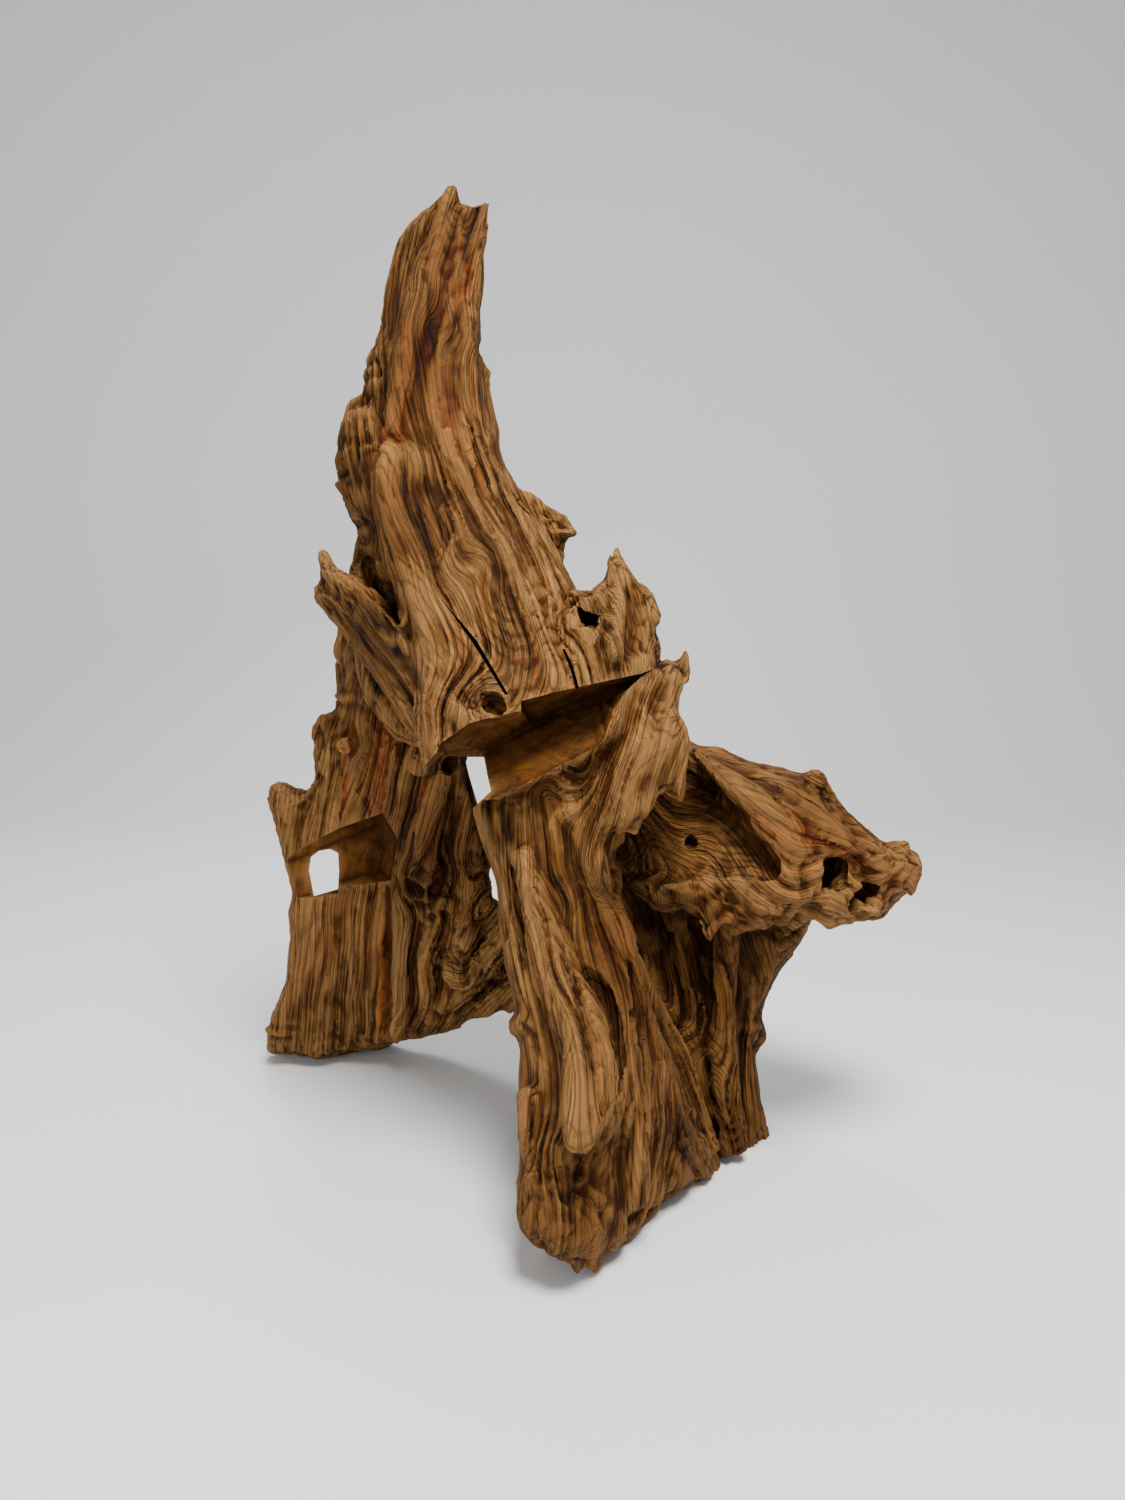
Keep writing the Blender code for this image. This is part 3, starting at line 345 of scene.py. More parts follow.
strand("tip_left", [(455, 186, 0.055, 0.007), (446, 222, 0.04, 0.014), (425, 290, 0.015, 0.024),
                    (408, 370, 0.0, 0.022), (392, 432, -0.01, 0.012)])
strand("tip_right", [(487, 200, 0.06, 0.006), (479, 232, 0.05, 0.008), (468, 300, 0.02, 0.011),
                     (465, 380, -0.01, 0.015), (477, 450, -0.015, 0.013), (514, 530, -0.02, 0.013),
                     (546, 580, -0.03, 0.01)])
strand("middle_rib", [(458, 260, 0.02, 0.006), (448, 330, 0.0, 0.011), (436, 400, -0.02, 0.012),
                      (440, 440, -0.03, 0.012), (500, 540, -0.06, 0.014), (545, 640, -0.12, 0.012),
                      (560, 690, -0.16, 0.01)])
for i, (px, py, depth, size) in enumerate([
        (358, 428, 0.03, 0.02), (354, 462, 0.04, 0.018), (361, 500, 0.045, 0.017),
        (379, 354, 0.045, 0.01), (385, 337, 0.05, 0.006), (382, 388, 0.035, 0.014),
        (480, 367, 0.05, 0.006), (480, 400, 0.045, 0.008)]):
    knob("cheek_%d" % i, (px, py, depth), (size, size * 0.9, size * 1.15))
strand("tip_groove", [(472, 196, 0.05, 0.009), (470, 222, 0.035, 0.009), (463, 262, 0.005, 0.008),
                      (458, 310, -0.012, 0.004)], hollows)
strand("log_shadow", [(318, 612, 0.06, 0.008), (345, 645, 0.055, 0.013), (380, 695, 0.045, 0.016),
                      (415, 745, 0.04, 0.016), (432, 765, 0.04, 0.01)], hollows)

# %% [markdown]
# ## The block and the log
#
# Under the horn the trunk widens to a thick block, which the saw later cuts off square. A log
# grows into it from the left. The dark wedge between the two is a hollow of its own, and so are
# the round knot hole and the eye beside the spike.

# %% The block and the log
BLOCK = [
    (376, 441), (395, 436), (420, 433), (450, 436), (480, 448), (500, 464), (518, 496),
    (540, 530), (557, 556), (573, 588), (590, 620), (620, 640), (657, 650), (657, 690),
    (630, 740), (560, 775), (500, 800), (437, 800), (422, 760), (416, 715), (409, 660),
    (405, 630), (396, 596), (386, 562), (377, 530), (372, 500), (371, 468),
]
LOG = [
    (317, 558), (321, 553), (330, 566), (342, 575), (352, 578), (375, 595), (395, 615),
    (410, 640), (440, 680), (490, 735), (490, 790), (437, 790), (425, 750), (405, 725),
    (385, 690), (362, 660), (340, 630), (326, 612), (325, 605), (317, 598), (316, 583),
    (324, 577), (323, 568),
]
slab("block", BLOCK,
     front=[(380, 450, -0.04), (440, 440, -0.035), (490, 470, -0.03), (376, 540, -0.07),
            (440, 600, -0.11), (440, 700, -0.15), (560, 700, -0.165), (640, 660, -0.14),
            (540, 560, -0.07)],
     back=[(380, 450, 0.08), (490, 470, 0.1), (440, 700, 0.06), (560, 700, 0.06),
           (640, 660, 0.03)],
     rim=[(380, 450, 14), (376, 540, 12), (410, 660, 14), (440, 790, 20), (500, 464, 60),
          (560, 560, 60), (650, 660, 30), (600, 760, 20)],
     edge=0.45)
slab("log", LOG,
     front=[(320, 560, 0.01), (345, 600, -0.025), (400, 660, -0.1), (450, 740, -0.16)],
     back=[(320, 560, 0.04), (345, 600, 0.05), (400, 660, 0.02), (450, 740, -0.02)],
     rim=11, edge=0.7)
LOG_GAP = [
    (355, 568), (361, 556), (368, 552), (379, 572), (391, 598), (402, 624), (408, 643), (397, 626),
    (381, 606), (365, 591),
]
slab("log_gap", LOG_GAP, front=-0.3, back=0.05, rim=6, edge=0.6, collection=hollows)
knob("root_eye", (589, 619, -0.12), (0.015, 0.09, 0.014), (0, 0, -12), hollows)
knob("root_eye_side", (577, 608, -0.13), (0.009, 0.05, 0.012), (0, 35, 10), hollows)
knob("knot_hole", (494, 706, -0.165), (0.017, 0.035, 0.014), (0, 30, 0), hollows)

# %% [markdown]
# ## The left leg
#
# The left leg is a plank on its outer side and a curtain of folds on its inner side, and the two
# meet in a crease. A slot through the plank comes with the saw cuts below.

# %% The left leg
LEFT_LEG = [
    (345, 590), (342, 630), (336, 655), (339, 665), (338, 700), (336, 719), (322, 722),
    (315, 724), (312, 733), (316, 738), (319, 750), (315, 755), (318, 765), (319, 780),
    (312, 790), (296, 791), (290, 785), (285, 784), (283, 788), (278, 784), (270, 793),
    (272, 800), (277, 820), (283, 845), (289, 880), (293, 900), (287, 911), (290, 940),
    (287, 965), (285, 985), (280, 1000), (272, 1020), (267, 1045), (266, 1052), (285, 1052),
    (310, 1055), (340, 1053), (370, 1048), (400, 1042), (440, 1033), (460, 1027),
    (470, 1018), (485, 1018), (497, 1007), (515, 1004), (540, 1000), (540, 930), (520, 900),
    (497, 905), (490, 893), (492, 885), (487, 870), (485, 850), (480, 830), (476, 806),
    (473, 790), (468, 770), (463, 757), (470, 740), (450, 690), (420, 620),
]
slab("left_leg", LEFT_LEG,
     front=[(350, 640, 0.09), (400, 720, 0.09), (460, 720, 0.07), (300, 800, 0.15),
            (350, 800, 0.13), (380, 900, 0.155), (290, 930, 0.18), (290, 1045, 0.235),
            (380, 1040, 0.225), (420, 960, 0.17), (500, 980, 0.17), (440, 850, 0.13)],
     back=[(350, 640, 0.2), (430, 720, 0.22), (300, 800, 0.22), (380, 900, 0.26),
           (290, 1040, 0.31), (380, 1040, 0.35), (500, 980, 0.26), (450, 850, 0.25)],
     rim=14, edge=0.5)
strand("fold_a", [(458, 752, 0.09, 0.008), (443, 780, 0.09, 0.016), (420, 828, 0.115, 0.02),
                  (404, 880, 0.14, 0.016), (402, 960, 0.165, 0.014), (398, 1036, 0.21, 0.012)])
strand("fold_b", [(450, 800, 0.11, 0.012), (432, 850, 0.125, 0.014), (425, 920, 0.15, 0.012),
                  (430, 1020, 0.2, 0.012)])
strand("fold_c", [(457, 778, 0.12, 0.007), (464, 830, 0.125, 0.012), (472, 880, 0.14, 0.01),
                  (468, 940, 0.15, 0.016), (450, 1000, 0.18, 0.014)])
strand("fold_d", [(520, 925, 0.1, 0.02), (495, 950, 0.13, 0.02), (470, 985, 0.155, 0.022),
                  (440, 1005, 0.19, 0.014)])
strand("fold_e", [(535, 985, 0.13, 0.02), (505, 992, 0.16, 0.018), (480, 1008, 0.18, 0.014)])
for i, (px, py, depth, size) in enumerate([
        (427, 882, 0.13, 0.016), (447, 905, 0.135, 0.014), (468, 906, 0.14, 0.013),
        (456, 972, 0.15, 0.02), (420, 765, 0.08, 0.014), (345, 745, 0.1, 0.012)]):
    knob("leg_knot_%d" % i, (px, py, depth), (size, size * 0.7, size))
strand("window_lump", [(348, 884, 0.27, 0.014), (330, 882, 0.27, 0.013), (318, 893, 0.27, 0.006)])
knob("fold_pit", (448, 768, 0.06), (0.016, 0.05, 0.014), (0, -30, 0), hollows)
strand("plank_crease", [(388, 885, 0.15, 0.006), (387, 960, 0.17, 0.008), (384, 1035, 0.215, 0.007)],
       hollows)

# %% [markdown]
# ## The front leg
#
# The front leg carries most of the weight. A thick fold hangs over its middle like cloth over a
# rail, and two ridges twist down beside it to the toes. A groove runs under the fold's right edge.

# %% The front leg
FRONT_LEG = [
    (474, 806), (497, 797), (489, 774), (486, 757), (560, 735), (620, 715), (640, 740),
    (630, 800), (616, 870),
    (620, 900), (627, 940), (639, 975), (647, 1010), (664, 1050), (686, 1100), (704, 1130),
    (718, 1168), (700, 1175), (680, 1190), (660, 1202), (645, 1215), (635, 1235),
    (620, 1243), (605, 1252), (595, 1267), (585, 1270), (570, 1264), (550, 1252),
    (535, 1244), (522, 1226), (520, 1190), (521, 1150), (523, 1100), (522, 1060),
    (520, 1032), (510, 1031), (512, 1022), (518, 1012), (513, 990), (507, 960), (502, 930),
    (499, 905), (497, 880), (490, 858), (483, 838),
]
slab("front_leg", FRONT_LEG,
     front=[(490, 800, -0.125), (560, 780, -0.15), (620, 760, -0.14), (520, 900, -0.16),
            (590, 930, -0.175), (530, 1100, -0.25), (600, 1100, -0.29), (580, 1240, -0.34),
            (640, 1100, -0.24), (690, 1150, -0.15), (650, 1190, -0.22)],
     back=[(490, 800, -0.02), (600, 760, 0.0), (520, 900, -0.03), (600, 930, -0.02),
           (530, 1100, -0.14), (600, 1100, -0.14), (580, 1240, -0.22), (690, 1150, -0.02)],
     rim=[(480, 806, 10), (495, 870, 22), (530, 1100, 30), (600, 1100, 40), (580, 1240, 26),
          (700, 1150, 16)],
     edge=0.35)
strand("drape", [(520, 850, -0.15, 0.012), (543, 925, -0.178, 0.018), (566, 985, -0.212, 0.024),
                 (586, 1035, -0.258, 0.028), (590, 1085, -0.296, 0.03), (582, 1126, -0.322, 0.024),
                 (572, 1150, -0.335, 0.01)])
strand("twist_a", [(560, 770, -0.145, 0.008), (590, 850, -0.16, 0.016), (608, 910, -0.165, 0.018),
                   (628, 970, -0.165, 0.018), (645, 1035, -0.175, 0.018), (668, 1095, -0.18, 0.018),
                   (690, 1150, -0.15, 0.012)])
strand("twist_b", [(625, 940, -0.13, 0.008), (655, 1010, -0.12, 0.012), (690, 1080, -0.1, 0.014),
                   (712, 1150, -0.09, 0.012)])
strand("toe", [(530, 1090, -0.245, 0.012), (528, 1150, -0.27, 0.014), (540, 1220, -0.28, 0.014)])
strand("toe_right", [(630, 1060, -0.22, 0.014), (640, 1130, -0.25, 0.018), (638, 1200, -0.25, 0.014)])
strand("spur", [(530, 1020, -0.15, 0.012), (518, 1023, -0.15, 0.006), (511, 1028, -0.15, 0.003)])
knob("drape_undercut", (584, 1160, -0.335), (0.024, 0.03, 0.014), (0, 20, 0), hollows)
knob("foot_pit", (612, 1205, -0.31), (0.01, 0.03, 0.022), (0, 15, 0), hollows)
strand("drape_groove", [(576, 940, -0.2, 0.006), (588, 972, -0.2, 0.014), (602, 1005, -0.21, 0.018),
                        (618, 1045, -0.245, 0.016), (626, 1090, -0.275, 0.013), (612, 1140, -0.31, 0.01)],
       hollows)
strand("twist_groove", [(604, 850, -0.165, 0.004), (632, 935, -0.16, 0.008), (652, 1010, -0.158, 0.01),
                        (676, 1080, -0.15, 0.009), (700, 1140, -0.12, 0.006)], hollows)
strand("leg_groove", [(508, 830, -0.13, 0.004), (520, 920, -0.16, 0.007), (540, 1010, -0.205, 0.008),
                      (552, 1080, -0.26, 0.005)], hollows)

# %% [markdown]
# ## The flap, the spike and the lug
#
# Three thin pieces stand off the trunk: a pleated flap that hangs from a fold, a sharp spike above
# it, and a small lug on the horn's right edge with a gap behind it.

# %% The flap, the spike and the lug
FLAP = [
    (600, 735), (612, 710), (625, 690), (640, 676), (655, 668), (665, 668), (672, 661),
    (682, 656), (686, 660), (688, 672), (687, 683), (680, 695), (676, 705), (681, 717),
    (687, 730), (689, 745), (686, 765), (685, 790), (681, 797), (676, 790), (668, 784),
    (664, 792), (660, 792), (655, 803), (652, 815), (648, 822), (640, 824), (632, 829),
    (618, 830), (608, 829), (604, 840), (598, 853), (590, 850), (583, 830), (575, 800),
    (570, 770),
]
SPIKE = [
    (575, 593), (585, 594), (595, 592), (602, 585), (609, 575), (612, 563), (613, 550),
    (617, 548), (622, 552), (626, 562), (632, 575), (638, 588), (641, 587), (648, 600),
    (655, 612), (657, 630), (658, 690), (620, 710), (585, 710), (565, 660), (560, 620),
]
LUG = [
    (515, 480), (522, 492), (530, 491), (540, 497), (548, 506), (560, 512), (573, 523),
    (579, 529), (576, 535), (570, 538), (567, 545), (562, 555), (575, 590), (540, 590),
    (500, 520),
]
slab("flap", FLAP,
     front=[(650, 680, -0.12), (680, 670, -0.1), (600, 760, -0.155), (650, 750, -0.185),
            (680, 780, -0.15), (600, 840, -0.175), (640, 820, -0.19)],
     back=[(650, 680, -0.06), (680, 670, -0.06), (600, 760, -0.1), (650, 750, -0.13),
           (680, 780, -0.11), (600, 840, -0.13), (640, 820, -0.15)],
     rim=9, edge=0.5)
slab("spike", SPIKE,
     front=[(617, 550, -0.08), (650, 620, -0.1), (600, 680, -0.155), (570, 640, -0.145),
            (640, 680, -0.13)],
     back=[(617, 550, -0.03), (650, 620, -0.02), (600, 680, 0.0), (570, 640, 0.0)],
     rim=12, edge=0.4)
slab("lug", LUG,
     front=[(520, 490, 0.03), (575, 530, 0.04), (560, 580, 0.02)],
     back=[(520, 490, 0.08), (575, 530, 0.07), (560, 580, 0.08)],
     rim=12, edge=0.3)
strand("pleat_a", [(655, 672, -0.115, 0.008), (632, 720, -0.15, 0.012), (622, 780, -0.175, 0.011),
                   (620, 822, -0.18, 0.007)])
strand("pleat_b", [(672, 668, -0.1, 0.01), (655, 730, -0.16, 0.013), (646, 790, -0.175, 0.008)])
strand("pleat_c", [(600, 745, -0.15, 0.008), (600, 800, -0.165, 0.01), (598, 845, -0.165, 0.006)])
strand("pleat_d", [(682, 722, -0.13, 0.006), (681, 760, -0.14, 0.006), (680, 790, -0.14, 0.005)])
strand("spike_rib", [(617, 550, -0.065, 0.006), (622, 600, -0.11, 0.012), (615, 660, -0.15, 0.01)])
strand("lug_gap", [(510, 478, -0.01, 0.004), (521, 507, 0.0, 0.009), (534, 532, 0.0, 0.009),
                   (550, 556, 0.0, 0.004)], hollows)

# %% [markdown]
# ## The arm
#
# The arm reaches right. Rot has eaten a wide scoop into its side, which leaves a bright brow above,
# two lips below and a snout with pits at the end. The scoop is a slab too, but one that is taken
# away: its far side is the scoop's bowl.

# %% The arm and its scoop
ARM = [
    (640, 730), (686, 742), (700, 750), (712, 748), (718, 749), (730, 757), (760, 765),
    (785, 771), (805, 777), (808, 773), (815, 771), (823, 775), (827, 785), (835, 797),
    (840, 808), (850, 820), (860, 828), (868, 838), (873, 838), (880, 844), (888, 847),
    (897, 843), (904, 844), (909, 855), (914, 863), (919, 873), (918, 880), (912, 888),
    (905, 890), (900, 897), (890, 905), (882, 915), (872, 919), (860, 921), (845, 920),
    (828, 922), (820, 918), (815, 910), (800, 916), (780, 926), (740, 930), (700, 918),
    (660, 910), (620, 890), (605, 840), (610, 780),
]
SCOOP = [
    (692, 754), (704, 768), (725, 790), (742, 808), (757, 829), (772, 845), (782, 862),
    (785, 880), (765, 888), (742, 890), (722, 897), (700, 895), (682, 890), (662, 898),
    (642, 890), (622, 880), (608, 862), (612, 842), (640, 833), (656, 822), (662, 802),
    (680, 802), (692, 798),
]
SCOOP_BEHIND_FLAP = [
    (688, 752), (704, 768), (725, 790), (735, 815), (735, 860), (700, 880), (662, 888),
    (642, 885), (622, 875), (606, 850), (615, 795), (650, 762),
]
slab("arm", ARM,
     front=[(650, 760, 0.0), (740, 775, -0.02), (745, 815, -0.08), (790, 860, -0.115),
            (690, 890, -0.07), (740, 900, -0.09), (830, 800, -0.03), (840, 850, -0.09),
            (900, 870, -0.04)],
     back=[(650, 760, 0.16), (740, 790, 0.15), (790, 860, 0.14), (690, 890, 0.18),
           (830, 800, 0.1), (900, 870, 0.06)],
     rim=[(700, 760, 34), (800, 790, 26), (900, 860, 18), (850, 915, 16), (720, 910, 22)],
     edge=0.25)
strand("brow", [(689, 747, -0.02, 0.008), (714, 770, -0.035, 0.018), (752, 803, -0.065, 0.026),
                (784, 836, -0.088, 0.028), (803, 868, -0.098, 0.024), (803, 895, -0.1, 0.014)])
strand("hood", [(700, 754, -0.0, 0.01), (745, 776, -0.02, 0.018), (790, 800, -0.05, 0.022),
                (820, 825, -0.075, 0.022), (845, 850, -0.08, 0.018), (880, 870, -0.07, 0.014)])
strand("lip_a", [(628, 884, -0.01, 0.007), (655, 899, -0.03, 0.007), (690, 899, -0.045, 0.006),
                 (718, 903, -0.06, 0.007), (748, 897, -0.078, 0.009), (790, 896, -0.1, 0.011)])
strand("lip_b", [(690, 915, -0.05, 0.01), (740, 922, -0.07, 0.018), (785, 910, -0.08, 0.016),
                 (808, 897, -0.075, 0.01)])
strand("snout", [(850, 850, -0.07, 0.02), (885, 868, -0.06, 0.024), (908, 876, -0.03, 0.02)])
strand("jaw", [(800, 900, -0.06, 0.012), (828, 912, -0.05, 0.014), (862, 912, -0.05, 0.013),
               (888, 895, -0.04, 0.014)])
for i, (px, py, depth, size) in enumerate([
        (815, 780, 0.0, 0.014), (903, 850, -0.02, 0.012), (872, 845, -0.04, 0.01),
        (759, 1035, 0.03, 0.012)]):
    knob("arm_knot_%d" % i, (px, py, depth), (size, size, size))
bowl = [(680, 780, 0.02), (640, 830, 0.02), (700, 845, -0.035), (750, 860, -0.07),
        (770, 880, -0.09), (700, 885, -0.066), (640, 880, -0.025), (740, 815, -0.045)]
slab("scoop", SCOOP, front=-0.35, back=bowl,
     rim=[(690, 752, 16), (757, 829, 16), (785, 880, 30), (722, 897, 50), (642, 890, 50),
          (612, 842, 14), (690, 798, 10)],
     edge=0.6, collection=hollows)
slab("scoop_behind_flap", SCOOP_BEHIND_FLAP, front=-0.1, back=bowl, rim=16, edge=0.6,
     collection=hollows)
knob("scoop_knot", (691, 842, -0.02), (0.008, 0.02, 0.007), (0, 0, 0), hollows)
knob("snout_eye", (832, 876, -0.09), (0.02, 0.05, 0.023), (0, 20, 0), hollows)
knob("snout_pit", (858, 894, -0.075), (0.026, 0.04, 0.018), (0, -20, 0), hollows)
knob("snout_nick", (888, 851, -0.04), (0.012, 0.02, 0.007), (0, 0, 0), hollows)
strand("cavern", [(643, 905, -0.02, 0.01), (650, 935, -0.015, 0.018), (662, 975, -0.02, 0.013),
                  (668, 1010, -0.03, 0.006)], hollows)
strand("crevice", [(634, 893, -0.03, 0.006), (655, 916, -0.03, 0.014), (680, 922, -0.045, 0.011),
                   (705, 914, -0.065, 0.007), (728, 920, -0.08, 0.004)], hollows)
strand("snout_slot", [(815, 890, -0.1, 0.008), (838, 896, -0.09, 0.006), (860, 903, -0.08, 0.006)],
       hollows)

# %% [markdown]
# ## The right leg and the back
#
# Below the arm the right leg falls in upright folds. Nothing shows the back, so it is built the way
# such a root grows: a core ties the limbs together, and thick roots run down it to each foot.

# %% The right leg and the back
RIGHT_LEG = [
    (610, 890), (660, 880), (760, 890), (815, 905), (812, 918), (808, 930), (795, 950),
    (780, 968), (770, 985), (763, 1005), (760, 1020), (764, 1025), (765, 1035), (762, 1044),
    (756, 1047), (752, 1043), (754, 1060), (756, 1080), (758, 1100), (762, 1120),
    (767, 1138), (755, 1147), (742, 1155), (725, 1168), (710, 1175), (690, 1180),
    (660, 1180), (640, 1100), (630, 1000),
]
CORE = [
    (385, 480), (500, 470), (560, 590), (600, 650), (640, 690), (670, 720), (700, 765),
    (770, 790), (800, 850), (780, 920), (750, 980), (700, 1010), (620, 1000), (560, 950),
    (520, 905), (508, 860), (506, 800), (500, 770), (480, 757), (455, 752), (400, 740),
    (360, 700), (350, 640), (360, 560),
]
slab("right_leg", RIGHT_LEG,
     front=[(640, 920, 0.01), (790, 930, 0.0), (705, 1000, -0.02), (705, 1170, -0.062),
            (760, 1130, -0.015)],
     back=[(640, 920, 0.16), (790, 930, 0.14), (700, 1000, 0.14), (700, 1170, 0.11),
           (760, 1130, 0.09)],
     rim=22, edge=0.3)
slab("core", CORE,
     front=[(430, 500, 0.0), (520, 600, 0.0), (420, 720, 0.02), (560, 800, -0.06),
            (640, 800, 0.06), (740, 850, 0.05), (620, 960, 0.0)],
     back=[(430, 500, 0.16), (520, 600, 0.17), (420, 720, 0.2), (560, 800, 0.17),
           (640, 800, 0.17), (740, 850, 0.14), (620, 960, 0.14)],
     rim=50, edge=0.2)
strand("column_a", [(670, 905, 0.0, 0.02), (688, 980, -0.005, 0.016), (690, 1080, -0.04, 0.018),
                    (700, 1165, -0.06, 0.018)])
strand("column_b", [(728, 915, -0.02, 0.018), (722, 990, -0.025, 0.018), (722, 1070, -0.045, 0.02),
                    (735, 1150, -0.05, 0.018)])
strand("column_c", [(797, 912, 0.0, 0.014), (766, 968, 0.0, 0.013), (751, 1010, 0.0, 0.01),
                    (745, 1070, 0.0, 0.01), (752, 1130, -0.01, 0.012)])
# The back: roots that run down from the horn to the three legs and the arm.
strand("back_left", [(443, 250, 0.08, 0.016), (412, 400, 0.14, 0.036), (395, 560, 0.19, 0.045),
                     (385, 700, 0.22, 0.042), (382, 850, 0.27, 0.036), (345, 950, 0.31, 0.036),
                     (335, 1050, 0.33, 0.034)])
strand("back_right", [(460, 280, 0.09, 0.012), (466, 450, 0.14, 0.034), (515, 600, 0.18, 0.05),
                      (560, 750, 0.19, 0.05), (620, 880, 0.17, 0.05), (690, 1000, 0.12, 0.045),
                      (725, 1160, 0.06, 0.036)])
strand("back_arm", [(530, 620, 0.16, 0.04), (610, 720, 0.16, 0.045), (700, 800, 0.14, 0.045),
                    (800, 850, 0.1, 0.04), (885, 878, 0.04, 0.026)])
strand("back_inner", [(430, 480, 0.16, 0.03), (435, 620, 0.21, 0.035), (428, 740, 0.24, 0.032),
                      (425, 860, 0.27, 0.03), (440, 1010, 0.28, 0.024)])
strand("back_strut", [(570, 780, 0.16, 0.04), (590, 880, 0.1, 0.042), (600, 980, 0.0, 0.04),
                      (590, 1090, -0.12, 0.038), (585, 1230, -0.21, 0.034)])
strand("back_web", [(545, 900, 0.13, 0.03), (520, 950, 0.18, 0.03), (470, 990, 0.24, 0.028),
                    (420, 1020, 0.29, 0.026)])
strand("back_cross", [(400, 700, 0.22, 0.03), (470, 690, 0.22, 0.032), (540, 720, 0.2, 0.034)])
strand("column_gap", [(748, 955, -0.03, 0.007), (742, 1020, -0.035, 0.01), (746, 1085, -0.035, 0.006)],
       hollows)
strand("column_gap_left", [(672, 950, -0.03, 0.012), (674, 1040, -0.06, 0.012),
                           (692, 1120, -0.1, 0.01)], hollows)
for i, (px, py, depth, radii, turn) in enumerate([
        (470, 600, 0.27, (0.03, 0.04, 0.12), -12), (520, 850, 0.26, (0.03, 0.06, 0.07), -20),
        (650, 790, 0.24, (0.07, 0.05, 0.03), 25), (400, 930, 0.35, (0.02, 0.04, 0.1), 5),
        (610, 1060, 0.0, (0.05, 0.05, 0.06), 0)]):
    knob("back_hollow_%d" % i, (px, py, depth), radii, (0, turn, 0), hollows)

# %% [markdown]
# ## The saw cuts
#
# A saw leaves flat faces and sharp edges, so the cuts come last, after the weather. Each is a stack
# of outlines at growing depth. Their faces are split into small triangles here, because the colour
# of the rings is later stored on the points of the mesh.

# %% The saw cuts
BEFORE, BEHIND = -0.5, 0.5  # depths that are clear of the root on both sides

upper = [(395, 775), (425, 765), (437, 752), (441, 743), (470, 723), (488, 718), (521, 711),
         (521, 701), (560, 691), (592, 684), (620, 678), (642, 673), (655, 668)]
upper_deep = [(395, 785), (425, 775), (440, 757), (448, 756), (480, 750), (500, 741), (518, 730),
              (530, 723), (560, 709), (592, 696), (620, 687), (640, 679), (652, 672)]
lower = [(641, 677), (626, 691), (613, 711), (605, 736), (598, 746), (565, 763), (520, 786),
         (474, 806), (440, 830), (395, 830)]
lower_deep = [(642, 680), (622, 691), (611, 698), (602, 702), (592, 705), (560, 714), (520, 734),
              (482, 756), (440, 830), (395, 830)]
cut("front_notch", [(BEFORE, upper + lower), (-0.15, upper + lower),
                    (-0.06, upper_deep + lower_deep)])
gap_beside = [(395, 800), (430, 768), (441, 756), (462, 756), (484, 755), (487, 774), (491, 791),
              (474, 807), (440, 835), (395, 840)]
gap_through = [(466, 762), (468, 757), (475, 757), (480, 757), (484, 757), (487, 774), (492, 788),
               (478, 805), (474, 792), (469, 775)]
cut("gap_beside", [(BEFORE, gap_beside), (0.07, gap_beside), (0.08, gap_through), (BEHIND, gap_through)])
slot = [(250, 852), (283, 847), (300, 844), (320, 838), (340, 828), (383, 813), (398, 840),
        (391, 880), (378, 882), (340, 889), (339, 896), (300, 903), (285, 911), (250, 920)]
slot_deep = [(262, 866), (284, 862), (301, 857), (321, 850), (341, 840), (376, 827), (384, 842),
             (380, 868), (372, 872), (339, 882), (338, 889), (300, 897), (285, 903), (262, 908)]
cut("leg_slot", [(-0.1, slot), (0.15, slot), (0.178, slot_deep)])
window = [(309, 870), (311, 857), (319, 851), (330, 849), (338, 853), (339, 870), (338, 889),
          (314, 896)]
cut("leg_window", [(0.0, window), (BEHIND, window)])
crack = [(441, 599), (443, 600), (477, 641), (508, 694), (505, 695), (473, 643)]
crack_deep = [(441, 600), (442, 600), (476, 642), (507, 694), (506, 695), (474, 643)]
cut("long_crack", [(-0.3, crack), (-0.12, crack), (-0.085, crack_deep)])
split = [(562, 649), (565, 649), (573, 666), (579, 688), (576, 690), (570, 668)]
split_deep = [(563, 650), (564, 650), (572, 667), (578, 688), (577, 689), (571, 668)]
cut("short_crack", [(-0.3, split), (-0.14, split), (-0.11, split_deep)])
# The ground takes away all that would reach below it, which leaves the feet flat.
GROUND_WIDTH = 3
ground = bmesh.new()
bmesh.ops.create_cube(ground, size=1, matrix=Matrix.Translation((0, 0, -0.5)) @ Matrix.Diagonal(
    (GROUND_WIDTH, GROUND_WIDTH, 1, 1)))
mesh = bpy.data.meshes.new("ground")
ground.to_mesh(mesh)
ground.free()
link("ground", mesh, saw_cuts)

# %% [markdown]
# ## Grown together
#
# Overlapping bodies become one with a voxel remesh: space is divided into small cells, and a new
# skin is laid round the filled ones. A few rounds of smoothing melt the seams, the way a tree's
# bark grows over a fork. The hollows are taken out with Booleans, and a finer remesh rounds their
# rims and gives the weather an even net of points.

# %% Fusing and hollowing
def one_body(obj):
    """Leaves the biggest shell only: closes the cavities that the fused pieces shut in."""
    shape = bmesh.new()
    shape.from_mesh(obj.data)
    left, shells = set(shape.verts), []
    while left:
        shell, edge = set(), [left.pop()]
        while edge:
            vert = edge.pop()
            shell.add(vert)
            for side in vert.link_edges:
                other = side.other_vert(vert)
                if other in left:
                    left.discard(other)
                    edge.append(other)
        shells.append(shell)
    biggest = max(shells, key=len)
    bmesh.ops.delete(shape, geom=[v for v in shape.verts if v not in biggest], context="VERTS")
    shape.to_mesh(obj.data)
    shape.free()


